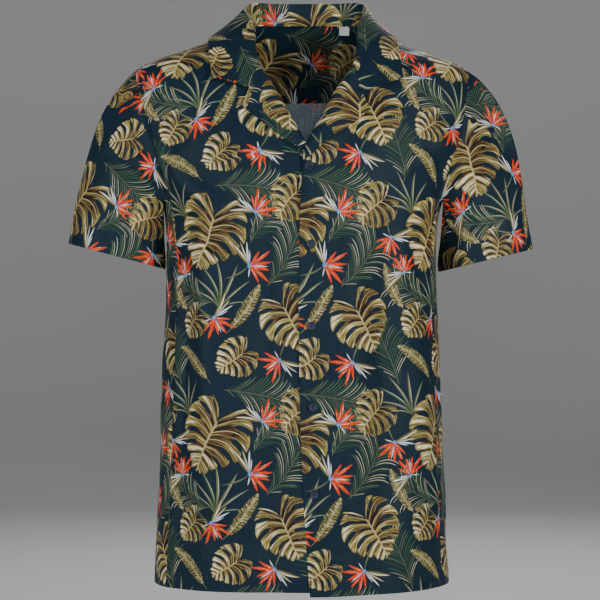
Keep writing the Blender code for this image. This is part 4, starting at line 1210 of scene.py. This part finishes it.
# Cubic from the armhole to the tilted cuff ellipse. It leaves the armhole square to the seam on
# top and hanging below, and comes to the cuff at its lean; then each ring is evened out.
def sleeveGrid(side):
    loop = armholeLoop(side)
    turns = sleeveTurns(loop)
    angle = np.radians(turns)
    x, z, halfWidth, tilt, head = sleeve["cuffs"][side]
    tilt, lean = math.radians(tilt), math.radians(sleeve["cuffLean"])
    out = np.array([side * math.cos(tilt), 0, math.sin(tilt)])
    cuff = np.array([side * x, 0, z]) + halfWidth * np.cos(angle)[:, None] * out
    cuff[:, 1] -= sleeve["cuffHalfDepth"] * np.sin(angle)
    top = ((1 + np.cos(angle)) / 2)[:, None]
    tangent = unit(np.roll(loop, -1, axis=0) - np.roll(loop, 1, axis=0))
    lift = sleeve["lean"] + sleeve["leanTop"] * top ** 2
    normal = unit((loop - [side * sleeve["leanFrom"], 0, 0]) * [1, 1, 0] + lift * [0, 0, 1])
    ahead = unit(np.cross(tangent, normal))
    ahead *= np.sign(ahead @ [side, 0, 0])[:, None]
    hang = np.stack([side * (sleeve["hangOut"] - sleeve["hangOutTop"] * top[:, 0]),
                     -sleeve["hangAside"] * np.sin(angle), 0 * angle - sleeve["hangDown"]], axis=1)
    length = np.linalg.norm(cuff - loop, axis=1, keepdims=True)
    pull = sleeve["footPull"] + (head - sleeve["footPull"]) * top
    headPull = pull * length * unit(ahead * top ** 2 + unit(hang) * (1 - top ** 2))
    cuffPull = sleeve["cuffPull"] * length * np.array([side * math.sin(lean), 0, -math.cos(lean)])
    f = (np.linspace(0, 1, sleeve["rows"] + 1) ** sleeve["crowding"])[:, None, None]
    points = cubic(loop, cuff, headPull, cuffPull, f)
    soft = ramp(f, 0.0, sleeve["softFull"]) * (1 - ramp(f, *sleeve["softTo"])) / 2
    for _ in range(sleeve["softening"]):
        beside = (np.roll(points, 1, axis=1) + np.roll(points, -1, axis=1)) / 2
        softer = points + (beside - points) * soft
        widen = np.sqrt(ringLength(points) / ringLength(softer)) - 1
        points = softer + (softer - softer.mean(axis=1, keepdims=True)) * widen * top
    below = ramp(-points[..., 2], *sleeve["clearFrom"]) * ramp(f[..., 0], 0.0, sleeve["headEnd"])
    points = points + (standOff(points, sleeve["clear"]) - points) * below[..., None]
    return points, turns, f[:, 0, 0]


def sleeveNormals(points):
    normals = gridNormals(points, closed=True)
    out = points - points.mean(axis=1, keepdims=True)
    return normals * np.sign((normals * out).sum())


def buildSleeve(name, side):
    coarse, turns, parts = sleeveGrid(side)
    points = refine(coarse, sleeve["rowTimes"], sleeve["columnTimes"], closed=True)
    angles = np.unwrap(np.radians(turns))
    angles = np.append(angles, angles[-1] + angles[1] - angles[0])
    turnFine = np.degrees(np.interp(np.arange(points.shape[1]) / sleeve["columnTimes"],
                                    np.arange(len(angles)), angles)) % 360
    partFine = np.interp(np.arange(len(points)) / sleeve["rowTimes"], np.arange(len(parts)), parts)

    def columnAt(turn):
        return int(np.argmin(np.abs((turnFine - turn + 180) % 360 - 180)))

    def place(turn, part):
        return points[np.argmin(np.abs(partFine - part)), columnAt(turn)]

    folds = [(place(a, b), place(c, d), place(e, g), depth, width)
             for a, b, c, d, e, g, depth, width in sleeve["folds"][side]]
    opened = np.concatenate([points, points[:, :1]], axis=1)
    flat = flattenFine(opened, (len(points) - 1, columnAt(0)), (0, columnAt(0)))
    away = {key: value[:, :-1] for key, value in borderDistances(opened).items()}
    beyondHead = ramp(partFine, 0.0, sleeve["headEnd"])[:, None]
    relief = foldRelief(points, folds) * beyondHead
    calm = ramp(away["bottom"], 0.0, slack["full"])
    relief += slackRelief(flat[:, :-1], sleeve["slackShift"] + side) * calm
    relief += seamRelief(away, "bottom") + hemRelief(away["top"], sleeve["hemDepth"])
    own = ramp(partFine, 0.0, sleeve["ownFull"])[:, None, None]
    across = unit(sleeveNormals(points) * own + unit(levelSlope(points)) * (1 - own))
    points = drawIn(points + across * relief[..., None], ("bottom",))
    below = ramp(-points[..., 2], *sleeve["clearFrom"]) * beyondHead
    clear = sleeve["clear"] * sleeve["clearLeast"]
    points = points + (standOff(points, clear) - points) * below[..., None]
    laid = flat * (-side, 1) + printing["sleeves"][side]
    shell = addShell(name, points, sleeveNormals(points), laid, clothPair, closed=True,
                     rounded=("top",))
    return dict(shell, away=away, flat=flat, closed=True)


# ---- collar and reverses

collar = dict(
    start=9.0, split=0.00035, solidGap=0.0003, solidWall=0.0012, lift=0.0040, hemDepth=0.0062,
    rowTimes=4, columnTimes=5, endFrom=0.80, lowFrom=-0.03, lowFull=-0.01, heartY=0.006,
    slack=0.5, slackShift=8, slackFrom=0.03, slackFull=0.05,
    # Half of the collar, from the centre back to the front end: part of the way, how far its fold
    # lies past the neck seam along the form and out of it, outer edge (x on the right, x on the
    # left, y, z), and how far the fall bows out between them.
    rows=(
        (0.00, 0.0269, 0.0136, 0.0000, 0.0000, 0.090, -0.006, 0.004),
        (0.20, 0.0252, 0.0168, 0.0560, 0.0550, 0.080, -0.006, 0.004),
        (0.36, 0.0225, 0.0235, 0.0950, 0.0890, 0.052, -0.006, 0.001),
        (0.50, 0.0140, 0.0165, 0.1215, 0.1070, 0.012, -0.005, 0.000),
        (0.62, 0.0158, 0.0105, 0.1260, 0.1155, -0.016, -0.011, 0.000),
        (0.78, 0.0117, 0.0070, 0.1255, 0.1215, -0.045, -0.027, 0.001),
        (0.90, 0.0050, 0.0060, 0.1235, 0.1230, -0.066, -0.046, 0.001),
        (1.00, -0.0020, 0.0055, 0.1220, 0.1245, -0.078, -0.061, 0.000),
    ),
    standSteps=(1.0, 0.5),
    fallSteps=(0.10, 0.28, 0.50, 0.76, 1.0),
    bend=(180, 135, 90, 45, 0), bendEnd=(180, 155, 130, 105, 80),
    foldRadius=0.0018, foldRadiusEnd=0.0028,
)
revers = dict(
    edge=(  # part of the way down, x from the neck's middle and height: right, then left
        (0.00, 0.0723, -0.0750, 0.0710, -0.0830),
        (0.24, 0.0819, -0.0990, 0.0813, -0.1030),
        (0.46, 0.0600, -0.1175, 0.0610, -0.1220),
        (0.72, 0.0330, -0.1390, 0.0340, -0.1390),
        (1.00, 0.0060, -0.1580, 0.0000, -0.1700),
    ),
    foot={-1: 3.5, 1: 3.0}, rows=72, columnTimes=5, rollFull=0.030, hemDepth=0.0055,
    slack=0.4, slackShift=11, reliefFrom=0.002, reliefFull=0.010, roomLow=2.5, seamColumn=4,
    crowdFrom=0.3, crowdSteps=8, lastSteps=(0.5, 1.0),
    roll=(  # distance past the roll line, height above the front
        (-0.0017, -0.0004),
        (0.0000, 0.0019),
        (0.0025, 0.0044),
        (0.0060, 0.0053),
        (0.0120, 0.0045),
        (0.0240, 0.0028),
        (0.2000, 0.0025),
    ),
)


def reversEdge(side, part):
    parts, rightX, rightZ, leftX, leftZ = np.array(revers["edge"]).T
    x, z = (rightX, rightZ) if side < 0 else (leftX, leftZ)
    return np.interp(part, parts, x), np.interp(part, parts, z)


# the neck seam from the right front's collar start round the back to the left one's
def neckSeam():
    def frontRows(side, rows):
        x, height = necklineAt(side, rows)
        return onForm(frontTurn(form["neckX"] + side * x, height), height)

    rows = np.arange(collar["start"], neckRows)
    steps = np.arange(yokeSteps - shoulderSteps, shoulderSteps - 1, -1)
    around = onForm(*yokeTop(steps / yokeSteps))
    points = np.concatenate([frontRows(-1, rows), around, frontRows(1, rows[::-1])])
    doubled = np.empty((2 * len(points) - 1, 3))
    doubled[::2], doubled[1::2] = points, (points[1:] + points[:-1]) / 2
    return doubled


def evenOut(points):
    beside = (points[:-2] + points[2:]) / 2
    return np.concatenate([points[:1], (points[1:-1] + beside) / 2, points[-1:]])


def squareTo(step, direction):
    return unit(step - direction * (step @ direction))


# Up the stand from the seam, round the fold, down the fall. At each end the fold closes in on the
# front's edge and the fall follows the line to the notch, where the revers begins.
def collarGrid():
    seam = neckSeam()
    run = runs(seam)
    part = 2 * run / run[-1] - 1
    side = np.where(part < 0, -1.0, 1.0)
    past, out, rightX, leftX, edgeY, edgeZ, bow = (
        value[:, None] for value in read(collar["rows"], np.abs(part)))
    edgeX = form["neckX"] + np.where(side[:, None] < 0, -rightX, leftX)
    edge = standOff(np.concatenate([edgeX, edgeY, edgeZ], axis=1), collar["lift"])
    notchX, notchZ = np.array([reversEdge(hand, 0.0) for hand in side]).T
    notch = onFront(form["neckX"] + side * notchX, notchZ, collar["lift"] + 0 * part)
    up = unit(levelSlope(seam))
    off = unit(np.cross(np.gradient(seam, axis=0), up))
    end = ramp(np.abs(part), collar["endFrom"], 1.0)[:, None]
    over = unit(notch - seam)
    over = unit(over - up * (over * up).sum(axis=1, keepdims=True))
    off = unit(off * (1 - end) - over * end)
    standOut = collar["solidGap"] + cloth["leafThickness"] / 2 + collar["split"] * (0.5 + 1.5 * end)
    foot = seam + off * standOut - up * collar["solidWall"] / 2
    fold = evenOut(evenOut(seam + off * past + up * out))
    outward = unit((fold - [form["neckX"], collar["heartY"], 0]) * [1, 1, 0])
    outward = unit(outward * (1 - end) + over * end)
    top = unit(np.array([0.0, 0.0, 1.0]) * (1 - end) + up * end)
    radius = collar["foldRadius"] + (collar["foldRadiusEnd"] - collar["foldRadius"]) * end
    heart = fold - top * radius
    bend = []
    for degrees, degreesEnd in zip(collar["bend"], collar["bendEnd"]):
        turned = np.radians(degrees + (degreesEnd - degrees) * end)
        bend.append(heart + (outward * np.cos(turned) + top * np.sin(turned)) * radius)
    stand = [bend[0] + (foot - bend[0]) * step for step in collar["standSteps"]]
    start = bend[-1]
    pull = (start + edge) / 2 + outward * bow
    fall = []
    for t in collar["fallSteps"]:
        through = start + (notch - start) * 2 * t
        if t > 0.5:
            through = notch + (edge - notch) * (2 * t - 1)
        fall.append(bent(start, pull, edge, t) * (1 - end) + through * end)
    fall = np.stack(fall, axis=1)
    low = ramp(-fall[..., 2], collar["lowFrom"], collar["lowFull"])[..., None]
    fall = fall + (standOff(fall, collar["lift"]) - fall) * low
    points = np.concatenate([np.stack(stand + bend, axis=1), fall], axis=1)
    points[0] += squareTo(seam[1] - seam[0], over[0]) * collar["split"]
    points[-1] += squareTo(seam[-2] - seam[-1], over[-1]) * collar["split"]
    return points


# a leaf of two layers round a grid of its middle, swollen at all four edges
def addLeaf(name, points, normals, relief, away, flat, laid):
    outer = points + normals * (cloth["leafThickness"] / 2 + relief)[..., None]
    shell = addShell(name, outer, normals, laid, clothPair[:1], thickness=cloth["leafThickness"],
                     rounded=("left", "right", "bottom", "top"))
    return dict(shell, away=away, flat=flat)


def buildCollar(name):
    points = refine(collarGrid(), collar["rowTimes"], collar["columnTimes"])
    middleRow = len(points) // 2
    flat = flattenFine(points, (middleRow, 0), (middleRow, points.shape[1] - 1), step=4)
    away = borderDistances(points)
    relief = slackRelief(flat, collar["slackShift"]) * collar["slack"]
    relief *= ramp(away["left"], collar["slackFrom"], collar["slackFull"])
    relief += hemRelief(away["right"], collar["hemDepth"]) * leafHem
    return addLeaf(name, points, gridNormals(points), relief, away, flat, flat + printing["collar"])


# turned-back front edge: ruled from the roll line to its outer edge, lying on the front
def buildRevers(name, side):
    part = np.linspace(0, 1, revers["rows"] + 1)
    outerX, outerZ = reversEdge(side, part)
    rows = collar["start"] + (revers["foot"][side] - collar["start"]) * part
    rollX, rollZ = necklineAt(side, rows)
    width = np.hypot(outerX - rollX, outerZ - rollZ)
    distances, lifts = np.array(revers["roll"]).T
    steps = [np.minimum(d, width * (k + revers["crowdFrom"]) / revers["crowdSteps"])
             for k, d in enumerate(distances[:-1])]
    steps += [steps[-1] + (width - steps[-1]) * f for f in revers["lastSteps"]]
    distance = refineAxis(np.stack(steps, axis=1), revers["columnTimes"], 1, False)
    f = distance / width[:, None]
    x = form["neckX"] + side * (rollX[:, None] * (1 - f) + outerX[:, None] * f)
    z = rollZ[:, None] * (1 - f) + outerZ[:, None] * f
    lift = smooth(distance, distances, lifts)
    narrow = np.clip(1 - width / revers["rollFull"], 0, 1)[:, None]
    lift = lift - np.clip(lift - lifts[-1], 0, None) * narrow
    points = onFront(x, z, lift + frontLift(side, frontTurn(x, z), z))
    room = np.where(distances[0] < distance[0], 1.0, revers["roomLow"])[:, None] * collar["split"]
    near = revers["seamColumn"]
    points[0] += room * squareTo(points[1, near] - points[0, near],
                                 unit(points[0, -1] - points[0, near]))
    flat = flattenFine(points, (len(points) - 1, 0), (len(points) // 3, 0), step=4)
    away = borderDistances(points)
    edgeAway = np.minimum(away["right"], away["bottom"])
    relief = leafHem * hemRelief(edgeAway, revers["hemDepth"])
    relief += slackRelief(flat, revers["slackShift"] + side) * revers["slack"]
    relief *= ramp(away["left"], revers["reliefFrom"], revers["reliefFull"])
    laid = flat * (side, 1) + printing["reverses"][side]
    return addLeaf(name, points, -side * gridNormals(points), relief, away, flat, laid)


# ---- thread

thread = dict(
    pitch=0.0029, length=0.0021, width=0.00042, rise=0.00020, sink=0.00012,
    steps=(0.0, 0.12, 0.35, 0.65, 0.88, 1.0), swell=(0.10, 0.75, 1.0, 1.0, 0.75, 0.10),
    colour=(0.012, 0.019, 0.030, 1.0), fuzz=(0.035, 0.048, 0.068, 1.0), roughness=0.6,
    fuzzScale=900.0, fuzzFrom=(0.4, 0.7),
    hem=0.0190, edge=0.0055, seam=0.0017,
)


def threadMaterial():
    def vary(start):
        place = start.node("ShaderNodeTexCoord", {}, {}, "Object")
        fuzz = place.node("ShaderNodeTexNoise", {}, {"Vector": place, "Scale": thread["fuzzScale"]})
        amount = fuzz.ramp(*thread["fuzzFrom"])
        return {"Base Color": paint(thread["colour"], thread["fuzz"], amount)}

    return newMaterial("thread", {"Roughness": thread["roughness"]}, vary)


# points and normals of the line that keeps this distance from one border of a cloth
def lineAt(part, border, distance, start=0.0, end=1.0):
    points, normals, away = part["points"], part["normals"], part["away"][border]
    if border in ("bottom", "top"):
        points, normals, away = points.transpose(1, 0, 2), normals.transpose(1, 0, 2), away.T
    if border in ("right", "top"):
        points, normals, away = points[:, ::-1], normals[:, ::-1], away[:, ::-1]
    rows = np.arange(len(points))
    after = np.maximum(np.argmax(away > distance, axis=1), 1)
    near, far = away[rows, after - 1], away[rows, after]
    f = ((distance - near) / (far - near))[:, None]
    kept = slice(int(start * (len(rows) - 1)), int(end * (len(rows) - 1)) + 1)
    return tuple((grid[rows, after - 1] * (1 - f) + grid[rows, after] * f)[kept]
                 for grid in (points, normals))


# points of all stitches on a line: a slim four-sided grain for each, its ends in the cloth
def stitchPoints(points, normals, closed):
    if closed:
        points, normals = (np.concatenate([grid, grid[:1]]) for grid in (points, normals))
    run = runs(points)
    count = max(int(run[-1] / thread["pitch"]), 1)
    starts = (np.arange(count) + 0.15) * run[-1] / count
    steps = np.array(thread["steps"])
    at = starts[:, None] + steps * thread["length"]
    centre, out = (np.stack([np.interp(at, run, grid[:, axis]) for axis in range(3)], axis=-1)
                   for grid in (points, normals))
    out = unit(out)
    beside = np.cross(out, unit(centre[:, -1:] - centre[:, :1]))
    height = thread["rise"] * np.sin(np.pi * steps) - thread["sink"]
    centre = centre + out * height[:, None]
    wide, tall = (side * thread["width"] / 2 * np.array(thread["swell"])[:, None]
                  for side in (beside, out))
    return np.stack([centre + wide, centre + tall, centre - wide, centre - tall], axis=2)


# closed tubes: for each a row of rings, every ring a loop of points, with a face at both ends
def addRings(name, rings, material, sharp):
    index = np.arange(rings[..., 0].size).reshape(rings.shape[:-1])
    faces = quads(wrapped(index)).tolist() + index[:, 0, ::-1].tolist() + index[:, -1].tolist()
    piece = addMesh(name, rings.reshape(-1, 3), faces, [material], sharp=sharp)
    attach(piece, "root")
    return piece


def addStitches(name, part, lines):
    closed = part.get("closed", False)
    grains = np.concatenate([stitchPoints(*lineAt(part, *line), closed) for line in lines])
    part["extras"] = [addRings(name, grains, threadLook, sharp=80)]


# ---- buttons

button = dict(
    radius=0.00575, thick=0.0026, rim=0.0012, dish=0.00075, dishBow=0.35, stand=0.0004,
    hub=0.0001, faceEnd=1.5,  # the face's smallest ring, and its end in rims from the edge
    holeAway=0.00135, holeRadius=0.00052, holeDepth=0.0014, holeSoft=0.25, rings=26, sides=48,
    rimSteps=(1.1, 0.8, 0.45, 0.15, 0.0, 0.0, 0.5), foot=0.80,
    rimSinks=(0.28, 0.04, 0.0), rimHeights=(0.90, 0.70, 0.45, 0.18, 0.0),
    colour=(0.0120, 0.0185, 0.040, 1.0), cloud=(0.034, 0.046, 0.084, 1.0),
    roughness=0.42, cloudRoughness=0.18, specular=0.3,
    cloudScale=320.0, cloudDetail=3.0, cloudTwist=1.2, cloudFrom=(0.42, 0.68),
    strands=3, strand=0.00028, strandApart=0.9, strandLift=0.0002, arch=0.00018, dip=0.0009,
)


def buttonMaterial():
    def vary(start):
        place = start.node("ShaderNodeTexCoord", {}, {}, "Object")
        cloud = place.node("ShaderNodeTexNoise", {}, {
            "Vector": place, "Scale": button["cloudScale"], "Detail": button["cloudDetail"],
            "Distortion": button["cloudTwist"]})
        spread, amount = button["cloudRoughness"], cloud.ramp(*button["cloudFrom"])
        return {"Base Color": paint(button["colour"], button["cloud"], amount),
                "Roughness": cloud * spread + button["roughness"] - spread / 2}

    return newMaterial("button", {"Specular IOR Level": button["specular"]}, vary)


# Turned disc: flat foot, rounded rim, dished face with two holes one above the other. The height
# of the face is a profile by distance from the middle, less a dimple at each hole.
def buttonSurface(place, normal):
    up = np.array([0.0, 0.0, 1.0])
    right = unit(np.cross(up, normal))
    up = np.cross(normal, right)
    radius, rim, dish, thick = (button[key] for key in ("radius", "rim", "dish", "thick"))
    face = np.linspace(button["hub"], radius - rim * button["faceEnd"], button["rings"])
    radii = np.concatenate([face, radius - rim * np.array(button["rimSteps"]),
                            [radius * button["foot"]]])
    heights = np.concatenate([thick - dish * (1 - button["dishBow"] * (face / face[-1]) ** 2),
                              thick - dish * np.array(button["rimSinks"]),
                              thick * np.array(button["rimHeights"])])
    angle = np.linspace(0, 2 * np.pi, button["sides"], endpoint=False)
    x, y = radii[:, None] * np.sin(angle), radii[:, None] * np.cos(angle)
    z = np.repeat(heights[:, None], len(angle), axis=1)
    hole, soft = button["holeRadius"], button["holeSoft"]
    for side in (-1, 1):
        away = np.hypot(x, y - side * button["holeAway"])
        dimple = 1 - ramp(away, hole * (1 - soft), hole * (1 + soft))
        z[:button["rings"]] -= (button["holeDepth"] * dimple)[:button["rings"]]
    base = place + normal * button["stand"]
    return base + x[..., None] * right + y[..., None] * up + z[..., None] * normal, right, up, base


# a piece stands in for its CAD node: the node is hidden and the piece hangs from the root
def standFor(piece, node):
    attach(piece, "root")
    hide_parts(node)


# adds a button and gives the lines of the thread through its holes
def addButton(number, height, x):
    turn = frontTurn(x, height)
    place, normal = onForm(turn, height), formNormal(turn, height)
    lift = frontLift(1, turn, height)
    place = place + normal * (lift + foldRelief(place, bodyFolds(frontFolds)))
    points, right, up, base = buttonSurface(place, normal)
    index = np.arange(points[..., 0].size).reshape(points.shape[:2])
    around = np.roll(quads(wrapped(index))[:, ::-1], 1, axis=1)
    faces = [*around.tolist(), index[0].tolist(), index[-1, ::-1].tolist()]
    piece = addMesh(f"button_{number}_turned", points.reshape(-1, 3), faces, [buttonLook], sharp=45)
    standFor(piece, f"button_{number}")
    t = np.linspace(0, 1, 11)
    shifts = (np.arange(button["strands"]) - (button["strands"] - 1) / 2) * button["strand"]
    arch = (button["thick"] - button["dish"] + button["strandLift"]
            + button["arch"] * np.sin(np.pi * t) - button["dip"] * np.abs(2 * t - 1) ** 6)
    line = base + np.outer((2 * t - 1) * button["holeAway"], up) + np.outer(arch, normal)
    return [line + right * shift * button["strandApart"] for shift in shifts]


# round tubes along short lines
def addTubes(name, lines, radius, material, sides=8):
    ahead = unit(np.gradient(lines, axis=1))
    beside = unit(np.cross(ahead, (0.31, 0.27, 0.91)))
    other = np.cross(ahead, beside)
    angle = np.linspace(0, 2 * np.pi, sides, endpoint=False)[:, None]
    around = beside[:, :, None] * np.cos(angle) + other[:, :, None] * np.sin(angle)
    addRings(name, lines[:, :, None] + radius * around, material, sharp=60)


# ---- size label

label = dict(
    width=0.0130, height=0.0110, x=0.0585, off=0.0013, thickness=0.0009, curl=0.0016, below=0.0002,
    columns=15, rows=13, reach=6, clear=3,
    colour=(0.80, 0.80, 0.78, 1.0), cloud=(0.62, 0.62, 0.61, 1.0), cloudSize=400.0, roughness=0.75,
    cloudFrom=0.4, cloudRun=0.4, cloudShare=0.4,
    rib=0.00045, bump=0.3, bumpHeight=0.0001,
)


def labelMaterial():
    def vary(start):
        x, y = start.node("ShaderNodeUVMap", dict(uv_map="cloth"), {}).parts(2)
        ribs = (y * (2 * math.pi / label["rib"])).sine()
        cloud = noise(x * label["cloudSize"], y * label["cloudSize"], 0.0)
        amount = (cloud - label["cloudFrom"]).ramp(0.0, label["cloudRun"]) * label["cloudShare"]
        colour = paint(label["colour"], label["cloud"], amount)
        return {"Base Color": colour, "Normal": ribs.bump(label["bump"], label["bumpHeight"])}

    return newMaterial("label tape", {"Roughness": label["roughness"]}, vary)


# folded tape on the inner yoke, hanging from the collar seam and curling out a little at its fold
def buildLabel(name):
    neck, below = inner["under"][-1], inner["under"][-label["reach"]]
    behind = np.arange(int(shoulderPart * len(neck)) + label["clear"], len(neck) // 2)
    x = label["x"] + np.linspace(0.5, -0.5, label["columns"]) * label["width"]
    place = np.interp(-x, -neck[behind, 0], behind)
    top, lower = (np.stack([np.interp(place, behind, line[behind]) for line in row.T], axis=1)
                  for row in (neck, below))
    drop = np.linspace(0, 1, label["rows"])[:, None, None]
    points = top + unit((lower - top) * (0, 1, 1)) * (drop * label["height"] + label["below"])
    normals = -unit(levelSlope(points))
    points = points + normals * (label["off"] + label["thickness"] + label["curl"] * drop ** 3)
    centre = label["columns"] // 2
    flat = flattenFine(points, (0, centre), (label["rows"] - 1, centre), step=4)
    shell = addShell(name, points, normals, flat, (labelLook, labelLook),
                     thickness=label["thickness"], rounded=("bottom", "top", "left", "right"))
    standFor(shell["piece"], "size_label")


# ---- build

sides = ((-1, "right"), (1, "left"))
addCamera()
addLamps()
addStage()
front = {side: buildFront(f"{word}_front", side) for side, word in sides}
print("fronts built")
back = buildBack("back_panel")
yoke, inner = buildYoke("outer_yoke", "inner_yoke", back)
print("back and yoke built")
sleeves = {side: buildSleeve(f"{word}_sleeve", side) for side, word in sides}
print("sleeves built")
collarCloth = buildCollar("camp_collar")
reverses = {side: buildRevers(f"{word}_revers", side) for side, word in sides}
print("collar and reverses built")

threadLook, buttonLook, labelLook = threadMaterial(), buttonMaterial(), labelMaterial()
strands = [addButton(number, *place) for number, place in enumerate(buttonPlaces, start=1)]
addTubes("button_thread", np.concatenate(strands), button["strand"] / 2, threadLook)
buildLabel("folded_label")
print("buttons and label built")

hem, edge, seam = thread["hem"], thread["edge"], thread["seam"]
stitching = []  # piece, cloth, lines: border, distance, and from where to where along it
for side, word in sides:
    frontLines = [("bottom", hem)]
    if side > 0:
        frontLines.append(("left", edge, 0.0, 0.70))
    stitching += [
        (f"{word}_front_stitches", front[side], frontLines),
        (f"{word}_sleeve_stitches", sleeves[side], [("top", hem)]),
        (f"{word}_revers_stitches", reverses[side],
         [("right", edge, 0.05, 0.96), ("bottom", edge, 0.25, 0.80)]),
    ]
stitching += [
    ("back_stitches", back, [("bottom", hem)]),
    ("yoke_stitches", yoke,
     [("bottom", seam), ("top", seam, 0.0, shoulderPart), ("top", seam, 1 - shoulderPart, 1.0)]),
    ("collar_stitches", collarCloth,
     [("right", edge, 0.02, 0.98), ("bottom", edge, 0.78, 0.93), ("top", edge, 0.78, 0.93)]),
]
for name, part, lines in stitching:
    addStitches(name, part, lines)
print("stitches built")


stands = {  # CAD node: cloth, material slot, what it hangs from
    "back": (back, "printed_cotton", yoke),
    "yoke": (yoke, "printed_cotton", inner),
    "yoke_inner": (inner, "inside_cotton", yoke),
    "collar": (collarCloth, "printed_cotton", yoke),
}
for side, word in sides:
    stands[f"front_{word}"] = (front[side], "printed_cotton", yoke)
    stands[f"sleeve_{word}"] = (sleeves[side], "printed_cotton", yoke)
    stands[f"lapel_{word}"] = (reverses[side], "facing_cotton", front[side])
for node, (part, slotName, holder) in stands.items():
    standFor(part["piece"], node)
